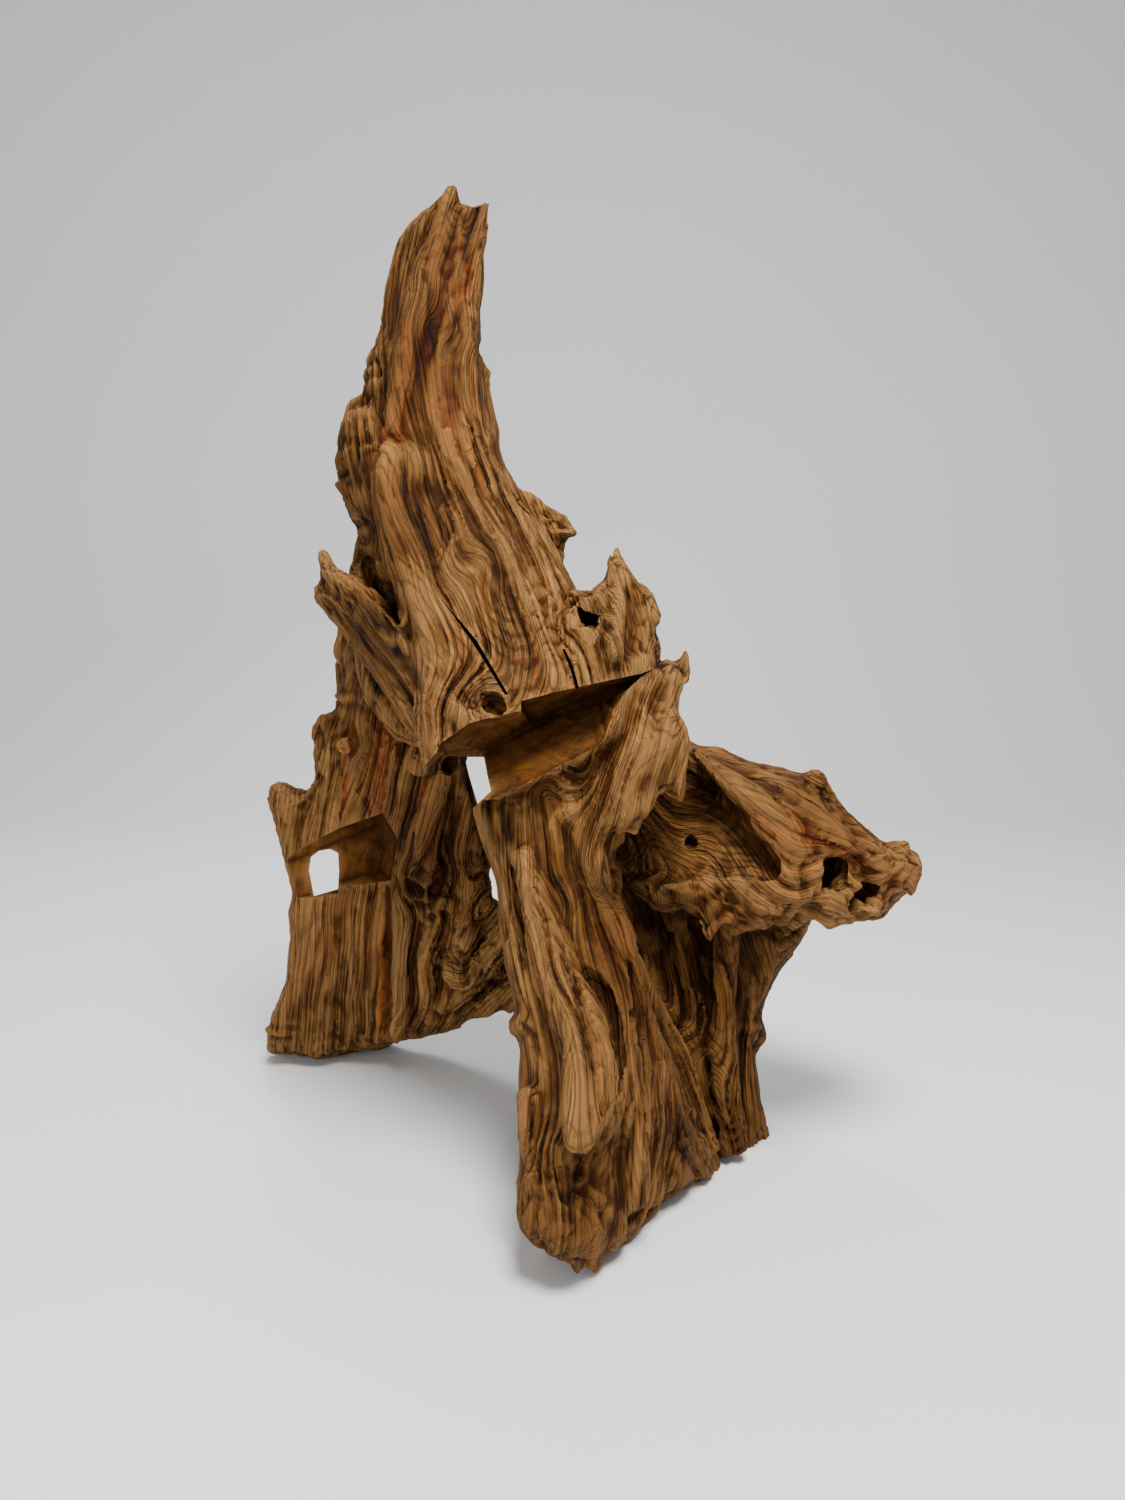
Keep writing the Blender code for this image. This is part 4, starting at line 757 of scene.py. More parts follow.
def fuse(objects, name, step):
    """One closed body in place of the overlapping ones."""
    shape = bmesh.new()
    for obj in objects:
        shape.from_mesh(obj.data)
        bpy.data.objects.remove(obj)
    mesh = bpy.data.meshes.new(name)
    shape.to_mesh(mesh)
    shape.free()
    obj = link(name, mesh, root_collection)
    applied(obj, "REMESH", mode="VOXEL", voxel_size=step)
    one_body(obj)
    return obj


root = fuse(list(pieces.objects), "dry_root", FUSE_STEP)
bpy.data.collections.remove(pieces)
applied(root, "SMOOTH", iterations=FUSE_ROUNDS, factor=0.5)
for cutter in list(hollows.objects):
    applied(root, "BOOLEAN", operation="DIFFERENCE", object=cutter, solver="MANIFOLD")
    bpy.data.objects.remove(cutter)
applied(root, "REMESH", mode="VOXEL", voxel_size=FINE_STEP)
applied(root, "SMOOTH", iterations=2, factor=0.5)
one_body(root)
print("one body of", len(root.data.polygons), "faces")

# %% [markdown]
# ## Noise for a whole mesh at once
#
# Blender's noise works on one point at a time. This one works on all points together: each corner
# of a cell gets a steady random number, and a point blends the eight numbers round it. Stretched
# along the grain, the same noise makes flutes, ribs and fibres.

# %% Noise
def corner_number(cell, seed):
    """A steady random number from 0 to 1 for each cell corner. Large odd factors scatter the bits,
    so that neighbouring corners get unrelated numbers."""
    stirred = (cell[:, 0] * 374761393 + cell[:, 1] * 668265263 + cell[:, 2] * 1442695041
               + seed * 1274126177) & 0xFFFFFFFF
    stirred = ((stirred ^ (stirred >> 13)) * 1274126177) & 0xFFFFFFFF
    return ((stirred ^ (stirred >> 16)) & 0xFFFF) / 65535


def soft_noise(at, seed=0):
    """Smooth noise, from -1 to 1 with a mean of 0, at points of a unit grid."""
    cell = np.floor(at).astype(np.int64)
    inside = at - cell
    # This curve leaves each corner level, so that no cell edge shows.
    blend = inside * inside * inside * (inside * (inside * 6 - 15) + 10)
    total = np.zeros(len(at))
    for corner in np.ndindex(2, 2, 2):
        corner = np.array(corner)
        weight = np.where(corner, blend, 1 - blend).prod(-1)
        total += weight * corner_number(cell + corner, seed)
    return total * 2 - 1


print("noise at two points:", soft_noise(np.array([[0.1, 0.2, 0.3], [5.5, 1.2, 0.7]])).round(3))

# %% [markdown]
# ## The grain
#
# Wood splits, wears and shines along its grain, so everything that follows needs to know which way
# the grain runs. Each limb gets a line through its heart. For any point, a line tells how far along
# it the point is, how far across and how deep, and the limbs near a point share the answer by
# weight. Years of growth are tubes round the same lines, so the distance to the line is the ring.

# %% Grain lines
# The lines the grain follows, points (px, py, depth), with the reach of each in metres.
GRAIN = {
    "horn": (0.09, [(458, 190, 0.06), (440, 260, 0.06), (430, 350, 0.06), (432, 440, 0.04),
                    (470, 540, 0.0), (530, 660, -0.05), (570, 730, -0.05)]),
    "log": (0.04, [(318, 556, 0.03), (345, 600, 0.02), (400, 665, -0.04), (460, 745, -0.09)]),
    "left_leg": (0.08, [(410, 600, 0.14), (385, 700, 0.16), (350, 850, 0.2), (335, 1055, 0.28)]),
    "curtain": (0.06, [(475, 700, 0.12), (455, 780, 0.16), (430, 850, 0.19), (440, 930, 0.2),
                       (420, 1040, 0.27)]),
    "web": (0.06, [(560, 900, 0.1), (500, 960, 0.18), (440, 1020, 0.25)]),
    "front_leg": (0.08, [(530, 720, -0.06), (540, 850, -0.08), (575, 980, -0.11),
                         (590, 1080, -0.18), (575, 1265, -0.27)]),
    "twist": (0.05, [(590, 820, -0.09), (625, 950, -0.08), (665, 1080, -0.1), (700, 1180, -0.08)]),
    "flap": (0.04, [(680, 655, -0.08), (650, 720, -0.14), (620, 850, -0.155)]),
    "spike": (0.05, [(616, 548, -0.05), (628, 620, -0.06), (610, 700, -0.08)]),
    "arm": (0.08, [(620, 740, 0.08), (720, 790, 0.06), (800, 845, 0.02), (915, 880, 0.01)]),
    "right_leg": (0.08, [(690, 880, 0.1), (725, 990, 0.06), (730, 1175, 0.03)]),
    "core": (0.1, [(470, 560, 0.14), (540, 700, 0.14), (600, 850, 0.12), (680, 980, 0.1)]),
}
LINE_STEPS, LINE_ROUNDS = 8, 24  # points between two given ones, and rounds of smoothing
SHARE_FALL = 6  # how fast a limb's share falls with the distance to its line
SHARE_FLOOR = 1e-30  # so that a point far from every line still has shares


def grain_line(path):
    """A smooth curve through path: its points, their lengths along it, and three ways at each:
    along, across and deep."""
    spots = np.array([seen(*spot) for spot in path])
    steps = np.linspace(0, len(spots) - 1, LINE_STEPS * (len(spots) - 1) + 1)
    curve = np.stack([np.interp(steps, np.arange(len(spots)), axis) for axis in spots.T], axis=-1)
    for _ in range(LINE_ROUNDS):
        curve[1:-1] = (curve[:-2] + 2 * curve[1:-1] + curve[2:]) / 4
    length = np.concatenate([[0], np.cumsum(np.linalg.norm(np.diff(curve, axis=0), axis=1))])
    way = np.gradient(curve, axis=0)
    way /= np.linalg.norm(way, axis=1)[:, None]
    deep = np.array([0, 1, 0]) - way * way[:, 1:2]
    deep /= np.linalg.norm(deep, axis=1)[:, None]
    return curve, length, way, np.cross(way, deep), deep


def grain(points, path):
    """Distance to the grain line, and the place along, across and deep of each point by it."""
    curve, length, way, side, deep = grain_line(path)
    apart = (points ** 2).sum(1)[:, None] - 2 * points @ curve.T + (curve ** 2).sum(1)
    near = apart.argmin(1)
    place = length[near] + ((points - curve[near]) * way[near]).sum(1)

    def there(values):
        return np.stack([np.interp(place, length, axis) for axis in values.T], axis=-1)

    off = points - there(curve)
    gap = np.linalg.norm(off, axis=1)
    ways = there(way)
    off -= (off * ways).sum(1)[:, None] * ways
    return np.stack([gap, place, (off * there(side)).sum(1), (off * there(deep)).sum(1)])


def limb_weights(points):
    """The share of each grain line in each point, and the four values that the line gives it."""
    found = [grain(points, path) for reach, path in GRAIN.values()]
    reaches = [reach for reach, path in GRAIN.values()]
    share = np.array([np.exp(-np.minimum(values[0] / reach, 60) * SHARE_FALL)
                      for values, reach in zip(found, reaches)])
    share += SHARE_FLOOR
    return share / share.sum(0), found


print("the horn's grain line is", grain_line(GRAIN["horn"][1])[1][-1].round(3), "m long")

# %% [markdown]
# ## Grain that flows
#
# Real grain is never quite straight. A slow sway bends it, and it parts round every knot, since a
# knot is the foot of a branch that the trunk grew around. The sway adds a noise to the place across
# the limb, and each knot pulls that place towards itself.

# %% Sway and knots
# Knots that the grain flows round, points (px, py, depth) with their reach in metres.
KNOTS = [
    (378, 452, -0.04, 0.035), (470, 566, -0.08, 0.03), (560, 520, 0.03, 0.03), (494, 700, -0.16, 0.03),
    (590, 618, -0.13, 0.035), (628, 628, -0.12, 0.025), (691, 842, -0.02, 0.05), (300, 795, 0.17, 0.03),
    (427, 882, 0.13, 0.035), (456, 972, 0.15, 0.04), (470, 905, 0.14, 0.025), (578, 1150, -0.32, 0.04),
    (600, 1215, -0.3, 0.03), (545, 905, -0.16, 0.03), (810, 880, -0.1, 0.04), (880, 870, -0.06, 0.04),
    (345, 745, 0.1, 0.025), (715, 1060, -0.04, 0.03), (560, 790, -0.14, 0.025), (440, 330, 0.0, 0.03),
]
KNOT_PULL = 1.15
SWAYS = [(0.006, 0.1, 31), (0.002, 0.04, 32)]  # reach, size and seed of each


def swayed(points, across, deep):
    """The places across and deep, bent by a slow sway and drawn round the knots."""
    sway = sum(reach * soft_noise(points / size, seed) for reach, size, seed in SWAYS)
    across, deep = across + sway, deep + sway
    for px, py, depth, reach in KNOTS:
        off = points - seen(px, py, depth)
        pull = KNOT_PULL * np.exp(-(np.linalg.norm(off, axis=1) / reach) ** 2)
        across = across - pull * off[:, 0]
    return across, deep


def grain_fields(points, share, found):
    """Across, deep, along and ring of each point, blended where limbs meet."""
    fields = np.zeros((4, len(points)))
    for weight, (gap, along, across, deep), (reach, path) in zip(share, found, GRAIN.values()):
        line = np.array([seen(*spot) for spot in path])
        middle = line.mean(0)
        ring = np.hypot(across, deep)
        fields += weight * np.stack([across + middle[0], deep + middle[1], along - line[0][2], ring])
    fields[0], fields[1] = swayed(points, fields[0], fields[1])
    return fields


some = read_points(root)[:2000]
fields = grain_fields(some, *limb_weights(some))
print("rings reach", round(float(fields[3].max()), 3), "m from the hearts of the limbs")

# %% [markdown]
# ## Places on the root
#
# Growth, weather and rot treat each spot in their own way. In a file worked by hand one would
# paint these spots with a brush in Weight Paint. Here each list holds places as pixels and depth
# with a reach in metres, and `near_to` turns a list into a soft mask: 1 at a place, and fading to
# 0 over about twice its reach. `streaked` does the same for streaks from one place to another.

# %% Places on the root
# Knotty wood.
KNOTTY = [
    (352, 450, 0.04, 0.06), (372, 370, 0.04, 0.035), (470, 960, 0.16, 0.07), (430, 900, 0.14, 0.05),
    (575, 1200, -0.31, 0.06), (885, 880, -0.04, 0.06), (815, 890, -0.09, 0.05),
    (720, 905, -0.08, 0.05), (300, 795, 0.17, 0.035), (640, 700, -0.12, 0.04),
    (560, 520, 0.03, 0.04), (700, 1150, -0.08, 0.05),
]
# Smooth, flat wood, where the rings show best.
CALM = [
    (470, 620, -0.11, 0.12), (410, 520, -0.06, 0.07), (440, 320, 0.0, 0.08), (700, 850, 0.02, 0.09),
    (335, 970, 0.18, 0.1), (380, 650, -0.06, 0.06), (655, 740, -0.15, 0.06), (540, 850, -0.15, 0.06),
]
# Edges that broke into teeth, one above the other.
TOOTHED = [
    (342, 430, 0.04, 0.03), (340, 480, 0.05, 0.03), (374, 365, 0.05, 0.025), (348, 530, 0.05, 0.03),
    (318, 590, 0.03, 0.02), (318, 735, 0.13, 0.025), (338, 680, 0.13, 0.03), (318, 770, 0.14, 0.02),
    (915, 872, -0.02, 0.03), (655, 610, -0.06, 0.03), (686, 690, -0.09, 0.02), (568, 545, 0.04, 0.02),
    (485, 370, 0.05, 0.025), (760, 1035, 0.0, 0.025), (800, 930, 0.0, 0.03), (272, 1030, 0.24, 0.03),
    (485, 860, 0.14, 0.03), (510, 980, 0.15, 0.03), (640, 1230, -0.28, 0.03), (840, 812, -0.03, 0.03),
]
# Holes that rot has eaten, with ragged rims.
RAGGED = [
    (589, 619, -0.12, 0.035), (494, 706, -0.165, 0.03), (832, 876, -0.09, 0.04), (860, 896, -0.07, 0.04),
    (888, 851, -0.04, 0.02), (650, 930, -0.03, 0.05), (700, 915, -0.06, 0.04), (584, 1160, -0.33, 0.04),
    (612, 1205, -0.31, 0.03), (448, 768, 0.06, 0.03), (380, 600, 0.0, 0.05),
]
# Wood whose fibres end torn off unevenly.
TORN = [
    (650, 815, -0.17, 0.025), (610, 845, -0.165, 0.02), (682, 795, -0.13, 0.02), (290, 790, 0.15, 0.03),
    (318, 728, 0.13, 0.03), (617, 556, -0.06, 0.025), (650, 605, -0.1, 0.03), (686, 662, -0.09, 0.02),
    (655, 905, -0.04, 0.03), (720, 922, -0.07, 0.03), (785, 915, -0.07, 0.03), (905, 862, -0.03, 0.03),
    (868, 916, -0.05, 0.03), (828, 918, -0.04, 0.02), (500, 1008, 0.17, 0.04), (600, 1255, -0.32, 0.04),
    (660, 1200, -0.24, 0.03), (457, 192, 0.055, 0.012), (870, 842, -0.03, 0.03), (752, 1040, 0.0, 0.02),
    (320, 558, 0.02, 0.02),
]
# Places painted darker: partly wood that damp has stained, partly painted shade, as on the right leg under
# the arm, in the scoop under the flap and on the curtain below the block.
STAINS_AND_SHADE = [
    (440, 250, 0.03, 0.1), (425, 350, 0.0, 0.1), (352, 460, 0.04, 0.07), (415, 520, -0.06, 0.08),
    (365, 640, -0.05, 0.07), (645, 1000, -0.17, 0.13), (680, 1110, -0.15, 0.1), (800, 810, -0.03, 0.09),
    (735, 780, 0.0, 0.07), (700, 1000, -0.02, 0.15), (735, 1120, -0.03, 0.1), (440, 850, 0.13, 0.09),
    (660, 820, 0.0, 0.08), (630, 900, -0.15, 0.08), (570, 1200, -0.31, 0.08),
]
# Streaks of red heartwood, each from one place to another, with its half width.
REDDENED = [
    ((404, 325, 0.0), (402, 435, -0.01), 0.009), ((384, 735, 0.1), (374, 815, 0.12), 0.011),
    ((384, 925, 0.16), (378, 1040, 0.2), 0.008), ((352, 730, 0.11), (344, 800, 0.13), 0.006),
    ((425, 790, 0.09), (428, 870, 0.12), 0.008), ((470, 250, 0.03), (462, 300, 0.01), 0.006),
]
STREAK_DEPTH_SHARE = 0.25  # a streak goes four times as deep into the wood as it is wide


def near_to(points, spots):
    """How near each point is to the nearest of the spots, from 0 to 1."""
    best = np.zeros(len(points))
    for px, py, depth, reach in spots:
        gap = np.linalg.norm(points - seen(px, py, depth), axis=1)
        best = np.maximum(best, np.exp(-(gap / reach) ** 2))
    return best


def streaked(points, streaks):
    """How near each point is to the nearest streak, from 0 to 1."""
    best = np.zeros(len(points))
    for start, end, reach in streaks:
        start, side = seen(*start), seen(*end) - seen(*start)
        share = np.clip((points - start) @ side / (side @ side), 0, 1)
        off = points - start - share[:, None] * side
        off[:, 1] *= STREAK_DEPTH_SHARE
        best = np.maximum(best, np.exp(-((off ** 2).sum(-1) / reach ** 2)))
    return best


print("the root has", len(KNOTTY), "knotty spots,", len(TORN), "torn ones and", len(REDDENED), "red streaks")

# %% [markdown]
# ## What a mesh knows of itself
#
# Each pattern of the weather asks the mesh a few things: which points are neighbours, which way the
# surface faces, and what a value looks like once it is evened out over the neighbours. The last is
# how a slow trend is told from a fine detail.

# %% Neighbours and normals
# The share of Y in a normal up to which the surface is a side, and from which it is a front or back.
SIDE_UP_TO, FRONT_FROM = 0.35, 0.75


def neighbours(mesh):
    edges = np.empty(len(mesh.edges) * 2, np.int32)
    mesh.edges.foreach_get("vertices", edges)
    return edges.reshape(-1, 2)


def spread(values, edges, rounds):
    """Each point's value evened out with its neighbours', some rounds over."""
    count = np.bincount(edges.ravel(), minlength=len(values))
    values = values.copy()
    columns = values.reshape(len(values), -1)
    for _ in range(rounds):
        for k in range(columns.shape[1]):
            near = (np.bincount(edges[:, 0], columns[edges[:, 1], k], len(count))
                    + np.bincount(edges[:, 1], columns[edges[:, 0], k], len(count)))
            columns[:, k] = 0.5 * columns[:, k] + 0.5 * near / np.maximum(count, 1)
    return columns.reshape(values.shape)


def normals_of(obj):
    flat = np.empty(len(obj.data.vertices) * 3)
    obj.data.vertices.foreach_get("normal", flat)
    return flat.reshape(-1, 3)


def front_of(normals, edges):
    """1 where the surface faces forward or back, 0 where it faces aside."""
    slow = spread(normals, edges, 25)
    slow /= np.linalg.norm(slow, axis=1)[:, None]
    turn = np.clip((np.abs(slow[:, 1]) - SIDE_UP_TO) / (FRONT_FROM - SIDE_UP_TO), 0, 1)
    return turn * turn * (3 - 2 * turn)


print("the body has", len(neighbours(root.data)), "pairs of neighbours")

# %% [markdown]
# ## Patterns of the weather
#
# Rain and rot take the soft wood first. Flutes are wide rounded ridges with narrow valleys, and
# ribs and threads are finer ones. A few long cracks follow the grain. Between them the wood comes
# away in splinters: each is a long cell of a Voronoi pattern with a height of its own. Where the
# surface cuts the rings at a low angle they stand out as terraces, as on the face of the block.

# %% Patterns of the weather
# How far each pattern moves the surface, and how wide and long its marks are, in metres.
FLUTE_RISE, FLUTE_WIDTH, FLUTE_LENGTH, FLUTE_BEND = 0.009, 0.034, 0.4, 0.012
GNARL_RISE, GNARL_SIZE = 0.004, 0.055
RIB_RISE, RIB_WIDTH, RIB_LENGTH, RIB_CRISP = 0.0045, 0.019, 0.5, 4.2
THREAD_RISE, THREAD_WIDTH, THREAD_LENGTH, THREAD_CRISP = 0.0024, 0.0095, 0.35, 2.6
CRACK_DEPTH, CRACK_SPACING, CRACK_LENGTH, CRACK_PATCH = 0.0085, 0.045, 0.6, 0.09
SPLINTERS = [(0.0021, 0.03, 0.16, 5), (0.0013, 0.013, 0.09, 6)]  # rise, width, length and seed
LUMP_RISE, LUMP_SIZE, CREASE_SIZE, BEAD_SIZE = 0.0035, 0.022, 0.03, 0.017
TOOTH_RISE, TOOTH_SIZE = 0.011, (0.05, 0.06, 0.0105)
TERRACE_RISE, RING_STEP = 0.001, 0.0065
RING_SWAYS = [(0.01, 0.08, 0.4, 3), (0.002, 0.03, 0.2, 4)]  # reach, width, length and seed
TEAR_REACH, TEAR_WIDTH, TEAR_DEPTH = 0.024, 0.011, 0.02
RAGGED_REACH, RAGGED_SIZE = 0.008, 0.017
BUSY_PATCH, ROUGH_PATCH = 0.12, 0.1  # size of the stretches that differ in ribs and in splinters
# And some shares, which have no unit.
VALLEY_FLOOR = 0.22  # of a flute's height, how much lies below the old surface
LATE_SHARE = 0.25  # of a year's growth, the part that is dense late wood
CRACK_SHARE = 0.09  # of the noise's height, how much of it is a crack
LEAST_SHARE = 0.02  # a limb with a smaller share in a point leaves its flutes out there


def fibre_noise(fields, front, width, length, seed):
    """Noise in threads of this width and length that run with the grain, on whichever side they lie."""
    across, deep, along, ring = fields
    level = np.full(len(across), seed * 1.7)
    on_front = soft_noise(np.stack([across / width, level, along / length], -1), seed)
    on_side = soft_noise(np.stack([deep / width, level, along / length], -1), seed + 40)
    return front * on_front + (1 - front) * on_side


def furrows(fields, front, width, length, seed, crisp):
    """Ridges with furrows between, from -0.6 to 0.4. The crisper, the flatter the ridges."""
    return np.minimum(np.abs(fibre_noise(fields, front, width, length, seed)) * crisp, 1) - 0.6


def splinters(fields, front, width, length, seed):
    """Long thin flakes, each set at its own height and rising to a broken end, from -1 to 1."""
    across, deep, along, ring = fields
    heights = []
    for lane in (across, deep):
        spot = np.stack([lane / width, along / length], -1)
        cell = np.floor(spot).astype(np.int64)
        nearest, height = np.full(len(spot), 9.0), np.zeros(len(spot))
        for step in np.ndindex(3, 3):
            own = np.column_stack([cell + np.array(step) - 1, np.full(len(cell), seed)])
            middle = own[:, :2] + 0.9 * np.stack([corner_number(own, 1), corner_number(own, 2)], -1)
            gap = ((spot - middle) ** 2).sum(-1)
            closer = gap < nearest
            nearest = np.where(closer, gap, nearest)
            tilt = np.clip(spot[:, 1] - middle[:, 1], -1, 1)
            height = np.where(closer, 1.6 * corner_number(own, 3) - 0.8 - 0.5 * tilt, height)
        heights.append(height)
    return front * heights[0] + (1 - front) * heights[1]


def flute(along, across, deep, seed):
    """Rounded ridges with narrow valleys between, along the grain."""
    bend = FLUTE_BEND * noise.noise(Vector((along * 9, across * 6, seed)))
    wide = noise.noise(Vector(((across + bend) / FLUTE_WIDTH, deep / FLUTE_WIDTH,
                               along / FLUTE_LENGTH + seed)))
    return abs(wide) - VALLEY_FLOOR


def fluted(points, share, found):
    """The flutes of every limb, blended by the limbs' shares in each point."""
    wide = np.zeros(len(points))
    for seed, (weight, (gap, along, across, deep)) in enumerate(zip(share, found)):
        near = np.nonzero(weight > LEAST_SHARE)[0]
        rise = [flute(along[i], across[i], deep[i], seed * 7.3) for i in near]
        wide[near] += weight[near] * np.array(rise)
    return wide


print("a flute halfway along the horn rises", round(flute(0.3, 0.02, 0.05, 0), 3))

# %% [markdown]
# ## Rings, cracks and lumps
#
# The ring is the distance to the heart of the limb, made a little uneven as growth is. How flat
# the surface runs along the rings is read from how slowly the ring changes between neighbours.
# Cracks are the thin zero lines of a long noise, and lumps are round noise with creases.

# %% Rings, cracks and lumps
def ring_of(fields):
    """Distance from the heart in metres, made a little uneven as growth is."""
    across, deep, along, ring = fields
    for reach, width, length, seed in RING_SWAYS:
        place = np.stack([across / width, deep / width, along / length], -1)
        ring = ring + reach * soft_noise(place, seed)
    return ring


def terrace(ring):
    """A raised line for each ring: sharp on one side, as late wood wears."""
    turn = (ring / RING_STEP) % 1.0
    return np.minimum(turn / (1 - LATE_SHARE), (1 - turn) / LATE_SHARE)


def flatness(points, edges, ring):
    """1 where the surface runs along the rings, 0 where it cuts straight across them."""
    run = np.linalg.norm(points[edges[:, 0]] - points[edges[:, 1]], axis=1)
    steep = np.abs(ring[edges[:, 0]] - ring[edges[:, 1]]) / np.maximum(run, 1e-9)
    slope = np.bincount(edges[:, 0], steep, len(points)) + np.bincount(edges[:, 1], steep, len(points))
    slope /= np.maximum(np.bincount(edges.ravel(), minlength=len(points)), 1)
    return np.clip(1.5 - 2.2 * spread(slope, edges, 4), 0, 1)


def cracked(points, fields, front, calm):
    """1 along a few long cracks, 0 elsewhere."""
    crack = np.exp(-(fibre_noise(fields, front, CRACK_SPACING, CRACK_LENGTH, 13) / CRACK_SHARE) ** 2)
    crack *= np.clip(4 * soft_noise(points / CRACK_PATCH, 14) - 0.6, 0, 1) * (1 - 0.5 * calm)
    return crack


def lumpy(points):
    """Round lumps of two sizes, with creases between them and beads on top."""
    lumps = soft_noise(points / LUMP_SIZE, 21) + 0.5 * soft_noise(points / (LUMP_SIZE / 2), 22)
    lumps = np.maximum(lumps, -0.5) - 0.6 * np.exp(-(soft_noise(points / CREASE_SIZE, 23) / 0.12) ** 2)
    lumps += 0.8 - 2.4 * np.abs(soft_noise(points / BEAD_SIZE, 24))
    return lumps


print("a ring's terrace halfway and near its end:", terrace(np.array([0.5, 0.95]) * RING_STEP).round(2))

# %% [markdown]
# ## The weather at work
#
# Each pattern lifts or lowers the points along their normals by its own rise. Busy and rough
# stretches alternate with quiet ones, and the calm places keep the least of it. Torn fibres are
# moved up or down and ragged rims in all ways. The points themselves move, so the shadows and the
# outline are real.

# %% The weather at work
def weathered(obj):
    """Moves the points of the body the way that years outdoors do."""
    points, normals, edges = read_points(obj), normals_of(obj), neighbours(obj.data)
    share, found = limb_weights(points)
    fields = grain_fields(points, share, found)
    ring, front = ring_of(fields), front_of(normals, edges)
    knotty, calm = near_to(points, KNOTTY), near_to(points, CALM)
    busy = np.clip(0.8 + 0.7 * soft_noise(points / BUSY_PATCH, 8), 0.2, 1.4) * (1 - 0.65 * calm)
    rough = np.clip(1.1 + 1.5 * soft_noise(points / ROUGH_PATCH, 9), 0.3, 1.8) * (1 - 0.6 * calm)

    gnarl = np.array([noise.fractal(Vector(p) / GNARL_SIZE, 0.7, 2, 3) for p in points])
    ribs = furrows(fields, front, RIB_WIDTH, RIB_LENGTH, 11, RIB_CRISP)
    threads = furrows(fields, front, THREAD_WIDTH, THREAD_LENGTH, 12, THREAD_CRISP)
    teeth = soft_noise(points / np.array(TOOTH_SIZE), 25)
    flakes = [height * splinters(fields, front, width, length, seed)
              for height, width, length, seed in SPLINTERS]

    rise = FLUTE_RISE * (1 - 0.5 * calm) * fluted(points, share, found)
    rise += GNARL_RISE * (0.4 + 0.6 * knotty) * gnarl
    rise += LUMP_RISE * knotty * lumpy(points) + TOOTH_RISE * near_to(points, TOOTHED) * teeth
    rise += busy * (RIB_RISE * ribs + THREAD_RISE * threads) - CRACK_DEPTH * cracked(
        points, fields, front, calm)
    rise += TERRACE_RISE * flatness(points, edges, ring) * (terrace(ring) - 0.5)
    rise += rough * (flakes[0] + flakes[1])
    moved = points + rise[:, None] * normals

    fibre_ends = np.stack([fields[0] / TEAR_WIDTH, fields[1] / TEAR_DEPTH, 0 * fields[0]], -1)
    moved[:, 2] += TEAR_REACH * (near_to(points, TORN) * soft_noise(fibre_ends, 15))
    ragged = near_to(points, RAGGED)
    for axis in range(3):
        moved[:, axis] += RAGGED_REACH * ragged * soft_noise(points / RAGGED_SIZE, 26 + axis)
    set_points(obj, moved)
    print("weather moves the surface by", rise.min().round(4), "to", rise.max().round(4))


weathered(root)

# %% [markdown]
# ## Fewer triangles, then the saw
#
# The net is far finer than it needs to be on smooth stretches. Decimate keeps the creases and
# thins the rest. The saw cuts follow, so their edges stay sharp, and their new faces take the
# second material, which is how the sawn wood is told from the weathered wood later on.

# %% Thinning and sawing
weathered_wood = bpy.data.materials.new("weathered_wood")
sawn_wood = bpy.data.materials.new("sawn_wood")
for material in (weathered_wood, sawn_wood):
    root.data.materials.append(material)

applied(root, "TRIANGULATE")
applied(root, "DECIMATE", ratio=TRIANGLES / len(root.data.polygons), use_collapse_triangulate=True)
for cutter in list(saw_cuts.objects):
    for material in (weathered_wood, sawn_wood):
        cutter.data.materials.append(material)
    cutter.data.polygons.foreach_set("material_index", np.ones(len(cutter.data.polygons), np.int32))
    applied(root, "BOOLEAN", operation="DIFFERENCE", object=cutter, solver="MANIFOLD",
            material_mode="INDEX")
    bpy.data.objects.remove(cutter)
one_body(root)
applied(root, "TRIANGULATE")
kinds = np.empty(len(root.data.polygons), np.int32)
root.data.polygons.foreach_get("material_index", kinds)
root.data.materials.clear()
for material in (weathered_wood, sawn_wood):
    root.data.materials.append(material)
root.data.polygons.foreach_set("material_index", kinds)
print(len(root.data.polygons), "triangles,", (kinds == 1).sum(), "of them sawn")

# %% [markdown]
# ## What the surface knows
#
# The materials need more than a position. Seven values are stored on every point: the grain
# coordinates, the ring, whether the spot faces forward or aside, how hollow it is, how much it
# stands out, how much stain and painted shade it takes and how red. Hollow and worn come from comparing
# the surface with two smoothed copies of itself, a near one for small dents and a far one for wide valleys:
# a point below the copies lies where dirt gathers and where shade is painted, and one above them is an edge
# that rain has worn pale.

# %% Values on the points
SMALL_DENT, WIDE_VALLEY = 0.0009, 0.008  # depths in metres that count as fully hollow


def store(obj, name, values):
    kind = "FLOAT_VECTOR" if values.ndim == 2 else "FLOAT"
    attribute = obj.data.attributes.new(name, kind, "POINT")
    attribute.data.foreach_set("vector" if values.ndim == 2 else "value", values.ravel())


points, normals, edges = read_points(root), normals_of(root), neighbours(root.data)
fields = grain_fields(points, *limb_weights(points))
near_copy, far_copy = spread(points, edges, 6), spread(points, edges, 60)
small = ((near_copy - points) * normals).sum(-1) / SMALL_DENT
large = np.clip(((far_copy - points) * normals).sum(-1) / WIDE_VALLEY, -1, 1)
# How far a point lies below the smoothed copies; the age group darkens it, partly as dirt and partly as
# painted shade.
hollow = np.clip(0.4 * small + 0.4 * large, 0, 1)
store(root, "grain", fields[:3].T.copy())
store(root, "ring", ring_of(fields))
store(root, "front", front_of(normals, edges))
store(root, "hollow", hollow)
store(root, "worn", np.clip(-0.45 * small - 0.35 * large, 0, 1))
